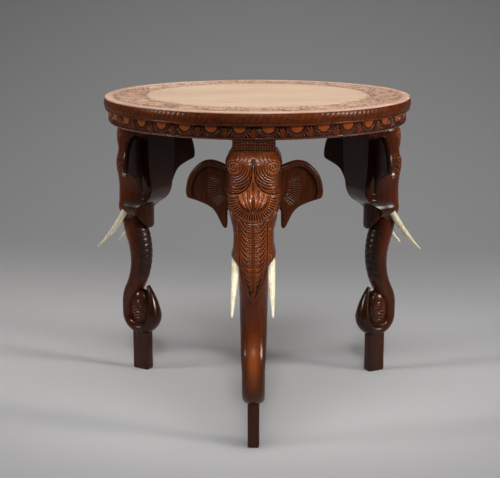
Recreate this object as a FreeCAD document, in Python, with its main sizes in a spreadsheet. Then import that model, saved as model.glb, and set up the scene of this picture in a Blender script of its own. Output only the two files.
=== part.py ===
import FreeCAD, Part
import math
import os
import Sketcher
from FreeCAD import Placement, Rotation, Vector

# A round carved table on three elephant-head legs. Millimetres, +Z up, origin on the floor under
# the middle of the top. Heights add up from the floor, and the leg's own sizes are measured in the
# leg's frame: X away from the table's axis, Y across the head, Z up, origin under the foot.

SIZES = {
    "table_height": 573.2,
    # Top board and the apron ring under it
    "top_radius": 280,
    "top_thick": 23,
    "top_bead_height": 4,
    "top_bead_step": 2,
    "top_lip_height": 3,
    "top_overhang": 8,
    # Carved border: a sunk ring in which a vine, its volutes and lotus buds stand up to the surface
    "border_set_in": 17,
    "border_width": 59,
    "border_depth": 1.6,
    "vine_half_width": 2.2,
    "vine_swing": 14,
    "volute_radius": 15,
    "volute_offset": 5,
    "lotus_half_height": 5,
    "lotus_half_width": 10,
    "lotus_gap": 1.2,
    # Apron ring
    "apron_width": 67,
    "apron_thick": 24,
    "apron_edge_round": 6,
    "leg_inset": 1,
    # Foot, curled trunk tip and trunk. The foot takes its share of the height that the rest leaves free.
    "foot_share": 0.39,
    "foot_length": 36,
    "foot_width": 20,
    "foot_round": 2,
    "curl_radius": 29.5,
    "curl_half_thick": 13,
    "curl_half_width": 19,
    "curl_tip_radius": 130,
    "curl_tip_rise": 61,
    "curl_tip_half_thick": 2.5,
    "curl_tip_half_width": 4,
    "bud_lift": 14,
    "bud_half_height": 36,
    "bud_half_width": 17,
    "bud_bite": 7,
    "trunk_drop": 16,
    "trunk_bend_radius": 60,
    "trunk_bend_half_thick": 16.5,
    "trunk_bend_half_width": 21.2,
    "waist_radius": 130,
    "waist_half_thick": 21.5,
    "waist_half_width": 23.2,
    "waist_set_in": 1,
    "trunk_lean": 19,
    "trunk_root_half_thick": 24,
    "trunk_root_half_width": 24,
    # Head: rise above the level below, back and front of the block, half width
    "mouth_below": 29,
    "head_back": 54,
    "lip_back": 10,
    "lip_half": 27,
    "lip_front": 37,
    "cheek_rise": 15.5,
    "cheek_back": 10,
    "cheek_half": 36.5,
    "cheek_front": 39,
    "jowl_rise": 7,
    "jowl_back": 29,
    "jowl_half": 35,
    "jowl_front": 38.5,
    "throat_rise": 12,
    "throat_back": 45,
    "throat_half": 33.5,
    "throat_front": 38,
    "face_rise": 17,
    "face_half": 33,
    "face_front": 37.5,
    "eye_rise": 27,
    "eye_half": 38.5,
    "eye_front": 38,
    "band_rise": 23.5,
    "band_half": 42.5,
    "band_front": 40.5,
    "temple_rise": 26,
    "temple_half": 44,
    "temple_front": 34.5,
    "brow_rise": 32,
    "brow_half": 45,
    "brow_front": 36,
    "crest_rise": 17,
    "crest_half": 43.5,
    "crest_front": 30,
    "crown_rise": 8.5,
    "crown_half": 38,
    "crown_front": 17,
    "shoulder_set_back": 9,
    "dome_radius": 32,
    "dome_half_height": 36,
    "dome_forward": 5.4,
    "dome_spread": 9.6,
    "dome_rise": 22,
    # Jaw, neck and tenon
    "jaw_back": 27,
    "jaw_front": 8,
    "jaw_half_width": 25,
    "jaw_length": 42,
    "jaw_round": 23,
    "neck_height": 18,
    "neck_half_width": 35.6,
    "neck_front_set_in": 3,
    "neck_back_set_in": 4,
    "tenon_length": 28,
    "tenon_width": 40,
    "tenon_bite": 12,
    "tenon_set_in": 31,
    # Ears
    "ear_reach": 76.5,
    "ear_rise": 64,
    "ear_drop": 52,
    "ear_thick": 12,
    "ear_rim": 11,
    "ear_dish": 4,
    "ear_round": 2.5,
    "ear_sweep": 14,
    "ear_set_back": 33,
    "ear_root_clear": 8,
    "ear_seat_depth": 4,
    "ear_tongue_length": 14,
    "ear_tongue_thick": 7,
    "ear_tongue_inset": 8,
    # Tusks
    "tusk_length": 100,
    "tusk_root_radius": 6.5,
    "tusk_tip_radius": 1.6,
    "tusk_pitch": 58,
    "tusk_bend": 16,
    "tusk_splay": 3.5,
    "tusk_spread": 29.5,
    "tusk_forward": 18,
    "tusk_above_lip": 4,
    "tusk_seat_depth": 24,
    "tusk_peg_radius": 4,
    "tusk_peg_length": 15,
    # Eyes
    "eye_forward": 8,
    "eye_above": 6,
    "eye_half_length": 5,
    "eye_half_height": 3.6,
    "eye_half_thick": 3,
    "eye_sink": 1.2,
    "eye_turn": 12,
    "pupil_radius": 1.8,
    "pupil_depth": 1.5,
    "pupil_proud": 0.4,
    # Fastenings
    "peg_radius": 4,
    "peg_past": 6,
    "spline_length": 32,
    "spline_width": 18,
    "spline_thick": 5,
    "screw_radius": 2.4,
    "screw_head_radius": 4.6,
    "screw_head_height": 2.6,
    "screw_bite": 14,
    "screw_angle": 20,
    "screw_set_in": 34,
    # Glue and assembly gaps
    "fit_gap": 0.2,
    "seat_gap": 0.3,
}

LEGS = {"front": -90, "right": 30, "left": 150}
SIDES = {"r": 1, "l": -1}
APRON_SEGMENTS = ("front", "front_right", "right", "back", "left", "front_left")
SEGMENT_TURN = 60
APRON_FIRST = -90

doc = FreeCAD.newDocument("elephant_table")
sheet = doc.addObject("Spreadsheet::Sheet", "dims")
for row, (name, value) in enumerate(SIZES.items(), start=1):
    sheet.set(f"A{row}", name)
    sheet.set(f"B{row}", str(value))
    sheet.setAlias(f"B{row}", name)
doc.recompute()


def dim(name):
    return float(sheet.get(name))


# Radii and levels that several pieces share
apron_radius = dim("top_radius") - dim("top_overhang")
apron_inner = apron_radius - dim("apron_width")
leg_radius = apron_radius - dim("leg_inset")
waist_x = -dim("waist_set_in")
bend_turn = math.acos(
    1 - (dim("curl_radius") - waist_x) / (dim("waist_radius") + dim("trunk_bend_radius"))
)
bend_rise = (dim("waist_radius") + dim("trunk_bend_radius")) * math.sin(bend_turn)
HEAD_RISES = ("cheek", "jowl", "throat", "face", "eye", "band", "temple", "brow", "crest", "crown")
curl_height = dim("curl_half_thick") + dim("curl_radius") + dim("trunk_drop") + bend_rise
head_height = sum(dim(f"{name}_rise") for name in HEAD_RISES) - dim("mouth_below")
above_leg = dim("neck_height") + dim("apron_thick") + dim("top_thick")
free_height = dim("table_height") - curl_height - head_height - above_leg
foot_height = dim("foot_share") * free_height
trunk_rise = free_height - foot_height
curl_z = foot_height + dim("curl_half_thick") + dim("curl_radius")
bend_z = curl_z + dim("trunk_drop")
waist_z = bend_z + bend_rise
mouth_z = waist_z + trunk_rise
lip_z = mouth_z - dim("mouth_below")
cheek_z = lip_z + dim("cheek_rise")
jowl_z = cheek_z + dim("jowl_rise")
throat_z = jowl_z + dim("throat_rise")
face_z = throat_z + dim("face_rise")
eye_z = face_z + dim("eye_rise")
band_z = eye_z + dim("band_rise")
temple_z = band_z + dim("temple_rise")
brow_z = temple_z + dim("brow_rise")
crest_z = brow_z + dim("crest_rise")
crown_z = crest_z + dim("crown_rise")
apron_z = crown_z + dim("neck_height")
top_z = apron_z + dim("apron_thick")


def bound(kind, name, place, **sizes):
    # A primitive whose sizes follow the sheet
    made = doc.addObject(kind, name)
    for prop, formula in sizes.items():
        made.setExpression(prop, formula)
    made.Placement = place
    return made


def at(x, y, z):
    return Placement(Vector(x, y, z), Rotation())


def fuse(name, shapes):
    made = doc.addObject("Part::MultiFuse", name)
    made.Shapes = shapes
    return made


def cut(name, base, tool):
    made = doc.addObject("Part::Cut", name)
    made.Base = base
    made.Tool = tool
    return made


def carved(name, shape):
    made = doc.addObject("Part::Feature", name)
    made.Shape = shape
    return made


def copies(label, master, places):
    # One node made of placed copies of a master piece
    links = []
    for index, place in enumerate(places):
        link = doc.addObject("Part::Compound", f"{label}_{index + 1}")
        link.Links = [master]
        link.Placement = place
        links.append(link)
    if len(links) == 1:
        links[0].Label = label
        return links[0]
    made = doc.addObject("Part::Compound", label)
    made.Links = links
    return made


def leg_place(turn):
    spin = Rotation(Vector(0, 0, 1), turn)
    return Placement(spin.multVec(Vector(leg_radius, 0, 0)), spin)


def spline(points):
    curve = Part.BSplineCurve()
    curve.interpolate(Points=points, Parameters=[float(i) for i in range(len(points))])
    return curve.toShape()


# Leg: cross-sections down the head and along the trunk, each a front curve and a back curve

CORNER = math.radians(135)
FRONT_STEPS = 8


def head_section(z, back, half, front):
    shoulder = front - half + dim("shoulder_set_back")
    middle = (shoulder - back) / 2
    side = [(-back, half), (middle, half), (shoulder, half)]
    round_corner = 0.76
    side.append((shoulder + round_corner * (front - shoulder), round_corner * half))
    ahead = [Vector(x, -y, z) for x, y in side]
    ahead.append(Vector(front, 0, z))
    ahead += [Vector(x, y, z) for x, y in reversed(side)]
    behind = [Vector(-back, half, z), Vector(-back, 0, z), Vector(-back, -half, z)]
    return Part.Wire([spline(ahead), spline(behind)])


def trunk_section(x, z, heading, half_thick, half_width):
    # heading is the angle of the section's outer side above the X axis
    outer = Vector(math.cos(heading), 0, math.sin(heading))
    across = Vector(0, 1, 0)
    centre = Vector(x, 0, z)

    def rim(angle):
        return centre + outer * (half_thick * math.cos(angle)) + across * (half_width * math.sin(angle))

    ahead = [rim(CORNER * (2 * i / FRONT_STEPS - 1)) for i in range(FRONT_STEPS + 1)]
    behind = [rim(CORNER), rim(math.pi), rim(-CORNER)]
    return Part.Wire([spline(ahead), spline(behind)])


def blend(first, last, share):
    return first + (last - first) * share


def arc_sections(centre, radius, start, end, outer_sign, first, last, steps, skip=0):
    # Sections along one arc of the trunk's path. outer_sign is 1 where the trunk's outer side looks
    # away from the arc's centre, and -1 where it looks towards it. skip leaves out the first steps.
    cx, cz = centre
    sections = []
    for step in range(skip, steps):
        share = step / steps
        angle = blend(start, end, share)
        heading = angle if outer_sign > 0 else angle + math.pi
        half_thick = blend(first[0], last[0], share)
        half_width = blend(first[1], last[1], share)
        x = cx + radius * math.cos(angle)
        z = cz + radius * math.sin(angle)
        sections.append(trunk_section(x, z, heading, half_thick, half_width))
    return sections


def trunk_sections():
    root = (dim("trunk_root_half_thick"), dim("trunk_root_half_width"))
    waist = (dim("waist_half_thick"), dim("waist_half_width"))
    bend = (dim("trunk_bend_half_thick"), dim("trunk_bend_half_width"))
    curl = (dim("curl_half_thick"), dim("curl_half_width"))
    tip = (dim("curl_tip_half_thick"), dim("curl_tip_half_width"))
    waist_r = dim("waist_radius")
    bend_r = dim("trunk_bend_radius")
    curl_r = dim("curl_radius")
    tip_r = dim("curl_tip_radius")

    # From the mouth the trunk leans in to its waist, swings out and curls up round the bud
    root_turn = 2 * math.atan(dim("trunk_lean") / trunk_rise)
    root_r = trunk_rise / math.sin(root_turn) - waist_r
    root_c = (waist_x + dim("trunk_lean") - root_r, mouth_z)
    waist_c = (waist_x + waist_r, waist_z)
    bend_c = (curl_r - bend_r, bend_z)
    tip_turn = math.asin(dim("curl_tip_rise") / tip_r)
    tip_c = (tip_r - curl_r, curl_z)
    sections = arc_sections(root_c, root_r, 0, -root_turn, 1, root, root, 6, skip=3)
    sections += arc_sections(waist_c, waist_r, math.pi - root_turn, math.pi, -1, root, waist, 3)
    sections += arc_sections(waist_c, waist_r, math.pi, math.pi + bend_turn, -1, waist, bend, 5)
    sections += arc_sections(bend_c, bend_r, bend_turn, 0, 1, bend, curl, 4)
    sections += arc_sections((0, curl_z), curl_r, 0, -math.pi, 1, curl, curl, 10)
    sections += arc_sections(tip_c, tip_r, math.pi, math.pi - tip_turn, 1, curl, tip, 5)
    end = math.pi - tip_turn
    end_x = tip_c[0] + tip_r * math.cos(end)
    sections.append(trunk_section(end_x, curl_z + dim("curl_tip_rise"), end, *tip))
    return sections


HEAD_LEVELS = (
    ("lip", lip_z), ("cheek", cheek_z), ("jowl", jowl_z), ("throat", throat_z), ("face", face_z), ("eye", eye_z),
    ("band", band_z), ("temple", temple_z), ("brow", brow_z), ("crest", crest_z), ("crown", crown_z),
)
LOW_LEVELS = ("lip", "cheek", "jowl", "throat")
STEPS_BETWEEN = 3


def through_levels(values):
    # A smooth curve of one size against height
    curve = Part.BSplineCurve()
    heights = [z for _, z in HEAD_LEVELS]
    points = [Vector(value, 0, z) for value, z in zip(values, heights)]
    curve.interpolate(Points=points, Parameters=heights)
    return lambda z: curve.value(z).x


def head_sections():
    names = [name for name, _ in HEAD_LEVELS]
    half_at = through_levels([dim(f"{name}_half") for name in names])
    front_at = through_levels([dim(f"{name}_front") for name in names])
    backs = [dim(f"{name}_back") if name in LOW_LEVELS else dim("head_back") for name in names]
    sections = []
    for index in range(len(names) - 1):
        low, high = HEAD_LEVELS[index][1], HEAD_LEVELS[index + 1][1]
        for step in range(STEPS_BETWEEN):
            share = step / STEPS_BETWEEN
            z = blend(low, high, share)
            back = blend(backs[index], backs[index + 1], share)
            sections.append(head_section(z, back, half_at(z), front_at(z)))
    sections.append(head_section(crown_z, backs[-1], dim("crown_half"), dim("crown_front")))
    return sections[::-1]


leg_form = carved("leg_form", Part.makeLoft(head_sections() + trunk_sections(), True, True))

# The rest of the leg: carved bud inside the curl, foot, jaw, neck and tenon
bud = bound(
    "Part::Ellipsoid", "bud", at(0, 0, curl_z + dim("bud_lift")),
    Radius1="dims.bud_half_height",
    Radius2="dims.curl_radius - dims.curl_half_thick + dims.bud_bite",
    Radius3="dims.bud_half_width",
)
foot_block = bound(
    "Part::Box", "foot_block", at(-dim("foot_length") / 2, -dim("foot_width") / 2, 0),
    Length="dims.foot_length",
    Width="dims.foot_width",
    Height=f"{foot_height} + dims.curl_half_thick",
)
neck = bound(
    "Part::Box", "neck", at(dim("neck_back_set_in") - dim("head_back"), -dim("neck_half_width"), crest_z),
    Length="dims.head_back - dims.neck_back_set_in - dims.neck_front_set_in",
    Width="2 * dims.neck_half_width",
    Height="dims.crown_rise + dims.neck_height",
)
tenon = bound(
    "Part::Box", "tenon",
    at(-dim("tenon_set_in") - dim("tenon_length") / 2, -dim("tenon_width") / 2, apron_z),
    Length="dims.tenon_length",
    Width="dims.tenon_width",
    Height="dims.apron_thick + dims.tenon_bite",
)
doc.recompute()


def round_edges(name, base, radius, wanted):
    made = doc.addObject("Part::Fillet", name)
    made.Base = base
    chosen = [i for i, edge in enumerate(base.Shape.Edges, start=1) if wanted(edge)]
    made.Edges = [(i, radius, radius) for i in chosen]
    return made


def is_upright(edge):
    return abs(edge.tangentAt(edge.FirstParameter).z) > 0.99


def on_floor(edge):
    return edge.BoundBox.ZMax < dim("fit_gap")


foot = round_edges("foot", foot_block, dim("foot_round"), lambda edge: is_upright(edge) or on_floor(edge))


def jaw_shape():
    half = dim("jaw_half_width")
    tip_z = cheek_z - dim("jaw_length")
    outline = [
        (-dim("jaw_back"), throat_z),
        (-dim("jaw_back"), tip_z),
        (dim("jaw_front"), jowl_z),
        (dim("jaw_front"), throat_z),
    ]
    corners = [Vector(x, -half, z) for x, z in outline]
    block = Part.Face(Part.makePolygon(corners + corners[:1])).extrude(Vector(0, 2 * half, 0))
    sides = [e for e in block.Edges if is_upright(e) and e.CenterOfMass.x < -dim("jaw_back") + 1]
    return block.makeFillet(dim("jaw_round"), sides)


jaw = carved("jaw", jaw_shape())
domes = []
for name, side in SIDES.items():
    domes.append(bound(
        "Part::Ellipsoid", f"dome_{name}", at(dim("dome_forward"), side * dim("dome_spread"), temple_z + dim("dome_rise")),
        Radius1="dims.dome_half_height",
        Radius2="dims.dome_radius",
        Radius3="dims.dome_radius",
    ))
leg_blank = fuse("leg_blank", [leg_form, bud, foot, jaw, neck, tenon] + domes)

# Ear: a flat board with a dished front, drawn in its own frame: X along the ear from its root,
# Y back through the board, Z up from the level of the carved band
EAR_CURVE = (
    (0, 0.85), (0.2, 0.945), (0.4, 1), (0.6, 0.955), (0.78, 0.79), (0.92, 0.56), (0.985, 0.3), (1, 0.1),
    (0.97, -0.02), (0.88, -0.08), (0.6, -0.21), (0.41, -0.355), (0.295, -0.56), (0.19, -0.86),
    (0.13, -0.985), (0.085, -0.985), (0.055, -0.86), (0.05, -0.5), (0.05, -0.19),
)
EAR_TOP_POINTS = 8
EAR_ROOT_TOP = EAR_CURVE[0][1]
EAR_ROOT_LOW = -EAR_CURVE[-1][1]


def ear_point(x, z, reach, rise, drop):
    return Vector(reach * x, 0, z * (rise if z > 0 else drop))


def ear_board_shape():
    reach = dim("ear_reach")
    rise = dim("ear_rise")
    drop = dim("ear_drop")
    thick = dim("ear_thick")
    edge = [ear_point(x, z, reach, rise, drop) for x, z in EAR_CURVE]
    root_low = Vector(0, 0, edge[-1].z)
    outline = Part.Wire([
        spline(edge),
        Part.LineSegment(edge[-1], root_low).toShape(),
        Part.LineSegment(root_low, edge[0]).toShape(),
    ])
    board = Part.Face(outline).extrude(Vector(0, thick, 0))
    board.translate(Vector(0, -thick / 2, 0))
    rim = [e for e in board.Edges if e.Length > reach + rise]
    board = board.makeFillet(dim("ear_round"), rim)
    # The dish leaves a rolled rim along the top and the outer edge
    inner = (reach - dim("ear_rim"), rise - dim("ear_rim"), drop)
    start = dim("ear_root_clear")
    hollow = [Vector(start, 0, inner[1] * EAR_ROOT_TOP)]
    hollow += [ear_point(x, z, *inner) for x, z in EAR_CURVE[2:EAR_TOP_POINTS]]
    below = Vector(inner[0], 0, -2 * drop)
    inside = Vector(start, 0, -2 * drop)
    hollow_face = Part.Face(Part.Wire([
        spline(hollow),
        Part.LineSegment(hollow[-1], below).toShape(),
        Part.LineSegment(below, inside).toShape(),
        Part.LineSegment(inside, hollow[0]).toShape(),
    ]))
    dish = hollow_face.extrude(Vector(0, thick, 0))
    dish.translate(Vector(0, dim("ear_dish") - 1.5 * thick, 0))
    return board.cut(dish)


ear_root_top = dim("ear_rise") * EAR_ROOT_TOP
ear_root_low = dim("ear_drop") * EAR_ROOT_LOW
ear_board = carved("ear_board", ear_board_shape())
ear_tongue = bound(
    "Part::Box", "ear_tongue",
    at(-dim("ear_tongue_length"), -dim("ear_tongue_thick") / 2, dim("ear_tongue_inset") - ear_root_low),
    Length="dims.ear_tongue_length",
    Width="dims.ear_tongue_thick",
    Height=f"{EAR_ROOT_TOP} * dims.ear_rise + {EAR_ROOT_LOW} * dims.ear_drop - 2 * dims.ear_tongue_inset",
)
ear_right = fuse("ear_right", [ear_board, ear_tongue])
ear_left = doc.addObject("Part::Mirroring", "ear_left")
ear_left.Source = ear_right
ear_left.Normal = Vector(1, 0, 0)

# Ear frame to leg frame: the right ear runs along +Y and is swept back
ear_y = dim("brow_half") - dim("ear_seat_depth")
ear_places = {
    "r": Placement(
        Vector(-dim("ear_set_back"), ear_y, band_z), Rotation(Vector(0, 0, 1), 90 + dim("ear_sweep"))
    ),
    "l": Placement(
        Vector(-dim("ear_set_back"), -ear_y, band_z), Rotation(Vector(0, 0, 1), 90 - dim("ear_sweep"))
    ),
}
ear_seat = bound(
    "Part::Box", "ear_seat",
    at(-dim("seat_gap"), -dim("ear_thick") / 2 - dim("fit_gap"), -ear_root_low - dim("fit_gap")),
    Length="dims.ear_root_clear + dims.ear_seat_depth",
    Width="dims.ear_thick + 2 * dims.fit_gap",
    Height=f"dims.ear_rise + {EAR_ROOT_LOW} * dims.ear_drop + 2 * dims.fit_gap",
)
ear_slot = bound(
    "Part::Box", "ear_slot",
    at(
        -dim("ear_tongue_length") - dim("seat_gap"),
        -dim("ear_tongue_thick") / 2 - dim("fit_gap"),
        dim("ear_tongue_inset") - ear_root_low - dim("fit_gap"),
    ),
    Length="dims.ear_tongue_length + 2 * dims.seat_gap",
    Width="dims.ear_tongue_thick + 2 * dims.fit_gap",
    Height=(
        f"{EAR_ROOT_TOP} * dims.ear_rise + {EAR_ROOT_LOW} * dims.ear_drop"
        " - 2 * dims.ear_tongue_inset + 2 * dims.fit_gap"
    ),
)
ear_mortise_right = fuse("ear_mortise_right", [ear_seat, ear_slot])
ear_mortise_left = doc.addObject("Part::Mirroring", "ear_mortise_left")
ear_mortise_left.Source = ear_mortise_right
ear_mortise_left.Normal = Vector(1, 0, 0)
ears = {"r": ear_right, "l": ear_left}
ear_mortises = {"r": ear_mortise_right, "l": ear_mortise_left}

# Tusk: a tapering horn in its own frame, along +X from its root and bending towards +Z, with a peg
# behind the root
TUSK_SHARES = (0, 0.25, 0.5, 0.75, 0.92, 1)


def tusk_ring(share):
    turn = math.radians(dim("tusk_bend")) * share
    bend_radius = dim("tusk_length") / math.radians(dim("tusk_bend"))
    centre = Vector(bend_radius * math.sin(turn), 0, bend_radius * (1 - math.cos(turn)))
    taper = round(1 - share ** 1.6, 3)
    return bound(
        "Part::Circle", f"tusk_ring_{TUSK_SHARES.index(share)}",
        Placement(centre, Rotation(Vector(0, 1, 0), 90 - math.degrees(turn))),
        Radius=f"dims.tusk_tip_radius + (dims.tusk_root_radius - dims.tusk_tip_radius) * {taper}",
    )


def along_x(x):
    return Placement(Vector(x, 0, 0), Rotation(Vector(0, 1, 0), 90))


tusk_horn = doc.addObject("Part::Loft", "tusk_horn")
tusk_horn.Sections = [tusk_ring(share) for share in TUSK_SHARES]
tusk_horn.Solid = True
tusk_peg = bound(
    "Part::Cylinder", "tusk_peg", along_x(-dim("tusk_peg_length")),
    Radius="dims.tusk_peg_radius",
    Height="dims.tusk_peg_length",
)
tusk = fuse("tusk", [tusk_horn, tusk_peg])
tusk_seat = bound(
    "Part::Cylinder", "tusk_seat", along_x(0),
    Radius="dims.tusk_root_radius + dims.seat_gap",
    Height="dims.tusk_seat_depth",
)
tusk_socket = bound(
    "Part::Cylinder", "tusk_socket", along_x(-dim("tusk_peg_length") - dim("seat_gap")),
    Radius="dims.tusk_peg_radius + dims.fit_gap",
    Height="dims.tusk_peg_length + 2 * dims.seat_gap",
)
tusk_bore = fuse("tusk_bore", [tusk_seat, tusk_socket])


def tusk_place(side):
    root = Vector(dim("tusk_forward"), side * dim("tusk_spread"), lip_z + dim("tusk_above_lip"))
    splay = Rotation(Vector(0, 0, 1), side * dim("tusk_splay"))
    pitch = Rotation(Vector(0, 1, 0), dim("tusk_pitch"))
    return Placement(root, splay.multiply(pitch))


# Eye: an oval of bone let into the side of the head, with a round pupil. Its own frame has Z out of
# the head.
eye_oval = bound(
    "Part::Ellipsoid", "eye_oval", at(0, 0, 0),
    Radius1="dims.eye_half_thick",
    Radius2="dims.eye_half_length",
    Radius3="dims.eye_half_height",
)
pupil_base = dim("eye_half_thick") - dim("pupil_depth")
pupil = bound(
    "Part::Cylinder", "pupil", at(0, 0, pupil_base),
    Radius="dims.pupil_radius",
    Height="dims.pupil_depth + dims.pupil_proud",
)
pupil_bore = bound(
    "Part::Cylinder", "pupil_bore", at(0, 0, pupil_base),
    Radius="dims.pupil_radius + dims.fit_gap",
    Height="2 * dims.pupil_depth",
)
eye = cut("eye", eye_oval, pupil_bore)
eye_socket = bound(
    "Part::Ellipsoid", "eye_socket", at(0, 0, 0),
    Radius1="dims.eye_half_thick + dims.seat_gap",
    Radius2="dims.eye_half_length + dims.seat_gap",
    Radius3="dims.eye_half_height + dims.seat_gap",
)


def eye_place(side):
    half = blend(dim("eye_half"), dim("band_half"), dim("eye_above") / dim("band_rise"))
    centre = Vector(dim("eye_forward"), side * (half - dim("eye_sink")), eye_z + dim("eye_above"))
    stand = Rotation(Vector(1, 0, 0), -90 * side)
    turn = Rotation(Vector(0, 0, 1), -side * dim("eye_turn"))
    return Placement(centre, turn.multiply(stand))


# Leg with its slots and sockets
leg_tools = []
for name, side in SIDES.items():
    leg_tools.append(copies(f"leg_ear_mortise_{name}", ear_mortises[name], [ear_places[name]]))
    leg_tools.append(copies(f"leg_tusk_bore_{name}", tusk_bore, [tusk_place(side)]))
    leg_tools.append(copies(f"leg_eye_socket_{name}", eye_socket, [eye_place(side)]))
peg_start = apron_inner - leg_radius
peg_end = dim("tenon_length") / 2 + dim("peg_past") - dim("tenon_set_in")
peg_z = apron_z + dim("apron_thick") / 2
peg_place = Placement(Vector(peg_start, 0, peg_z), Rotation(Vector(0, 1, 0), 90))
peg_length = "dims.apron_width - dims.leg_inset - dims.tenon_set_in + dims.tenon_length / 2 + dims.peg_past"
tenon_peg = bound(
    "Part::Cylinder", "tenon_peg", peg_place,
    Radius="dims.peg_radius",
    Height=f"{peg_length}",
)
peg_bore = bound(
    "Part::Cylinder", "peg_bore", peg_place,
    Radius="dims.peg_radius + dims.fit_gap",
    Height=f"{peg_length} + dims.seat_gap",
)
leg_tools.append(peg_bore)
leg = cut("leg", leg_blank, fuse("leg_tools", leg_tools))

# Apron: a ring of felloe segments, standing on Z = 0 here. Every other one takes a leg's tenon.
joint_radius = apron_radius - dim("apron_width") / 2
screw_at = apron_radius - dim("screw_set_in")


def spin(turn):
    return Placement(Vector(0, 0, 0), Rotation(Vector(0, 0, 1), turn))


def spline_box(name, gap, formula):
    return bound(
        "Part::Box", name,
        at(
            joint_radius - dim("spline_width") / 2 - gap,
            -dim("spline_length") / 2 - gap,
            dim("apron_thick") / 2 - dim("spline_thick") / 2 - gap,
        ),
        Length=f"dims.spline_width + 2 * {formula}",
        Width=f"dims.spline_length + 2 * {formula}",
        Height=f"dims.spline_thick + 2 * {formula}",
    )


def screw_solid(name, formula):
    place = at(screw_at, 0, 0)
    head = bound(
        "Part::Cone", f"{name}_head", place,
        Radius1=f"dims.screw_head_radius + {formula}",
        Radius2=f"dims.screw_radius + {formula}",
        Height="dims.screw_head_height",
    )
    shank = bound(
        "Part::Cylinder", f"{name}_shank", place,
        Radius=f"dims.screw_radius + {formula}",
        Height=f"dims.apron_thick + dims.screw_bite + {formula}",
    )
    return fuse(name, [head, shank])


apron_outer = bound(
    "Part::Cylinder", "apron_outer", spin(-SEGMENT_TURN / 2),
    Radius="dims.top_radius - dims.top_overhang",
    Height="dims.apron_thick",
    Angle=str(SEGMENT_TURN),
)
apron_hole = bound(
    "Part::Cylinder", "apron_hole", at(0, 0, 0),
    Radius="dims.top_radius - dims.top_overhang - dims.apron_width",
    Height="dims.apron_thick",
)
apron_blank = cut("apron_blank", apron_outer, apron_hole)
doc.recompute()


def is_lower_rim(edge):
    outermost = abs(edge.Vertexes[0].Point.Length - apron_radius) < dim("fit_gap")
    return on_floor(edge) and outermost and edge.Length > apron_radius / 2


apron_round = round_edges("apron_round", apron_blank, dim("apron_edge_round"), is_lower_rim)
spline_key = spline_box("spline_key", 0, "0")
spline_slot = spline_box("spline_slot", dim("fit_gap"), "dims.fit_gap")
screw = screw_solid("screw", "0")
screw_bore = screw_solid("screw_bore", "dims.fit_gap")
screw_turns = (-dim("screw_angle"), dim("screw_angle"))
segment_cuts = [copies("segment_spline_slot", spline_slot, [spin(-SEGMENT_TURN / 2), spin(SEGMENT_TURN / 2)])]
segment_cuts.append(copies("segment_screw_bore", screw_bore, [spin(turn) for turn in screw_turns]))
tenon_mortise = bound(
    "Part::Box", "tenon_mortise",
    at(
        leg_radius - dim("tenon_set_in") - dim("tenon_length") / 2 - dim("fit_gap"),
        -dim("tenon_width") / 2 - dim("fit_gap"),
        0,
    ),
    Length="dims.tenon_length + 2 * dims.fit_gap",
    Width="dims.tenon_width + 2 * dims.fit_gap",
    Height="dims.apron_thick + dims.tenon_bite + dims.seat_gap",
)
segment_peg_bore = copies("segment_peg_bore", peg_bore, [at(leg_radius, 0, -apron_z)])
plain_segment = cut("plain_segment", apron_round, fuse("plain_cuts", segment_cuts))
leg_segment = cut("leg_segment", apron_round, fuse("leg_cuts", segment_cuts + [tenon_mortise, segment_peg_bore]))

# Top board: a turned disc with a bead under its bulging edge, drawn on its underside
top_body = doc.addObject("PartDesign::Body", "top_disc")
top_sketch = top_body.newObject("Sketcher::SketchObject", "top_profile")
upright = next(plane for plane in top_body.Origin.OriginFeatures if plane.Role == "XZ_Plane")
top_sketch.AttachmentSupport = [(upright, "")]
top_sketch.MapMode = "FlatFace"
rim_x = dim("top_radius") - dim("top_bead_step")
lip_level = dim("top_thick") - dim("top_lip_height")
corners = [
    (0, 0, "under"), (rim_x, 0, "bead"), (rim_x, dim("top_bead_height"), "bulge"), (rim_x, lip_level, "lip"),
    (rim_x, dim("top_thick"), "top"), (0, dim("top_thick"), "axis"),
]
bulge = [name for _, _, name in corners].index("bulge")
for index, (x, y, name) in enumerate(corners):
    next_x, next_y, _ = corners[(index + 1) % len(corners)]
    first, last = Vector(x, y, 0), Vector(next_x, next_y, 0)
    if index == bulge:
        middle = Vector(dim("top_radius"), (y + next_y) / 2, 0)
        top_sketch.addGeometry(Part.Arc(first, middle, last))
    else:
        top_sketch.addGeometry(Part.LineSegment(first, last))
for index in range(len(corners)):
    start_of_next = (index + 1) % len(corners)
    top_sketch.addConstraint(Sketcher.Constraint("Coincident", index, 2, start_of_next, 1))
top_sketch.addConstraint(Sketcher.Constraint("Coincident", 0, 1, -1, 1))
for index in (0, 4):
    top_sketch.addConstraint(Sketcher.Constraint("Horizontal", index))
for index in (1, 3, 5):
    top_sketch.addConstraint(Sketcher.Constraint("Vertical", index))
top_sketch.addConstraint(Sketcher.Constraint("Vertical", 1, 2, 2, 2))


def drive(constraint, formula):
    index = top_sketch.addConstraint(constraint)
    top_sketch.setExpression(f"Constraints[{index}]", formula)


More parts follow.
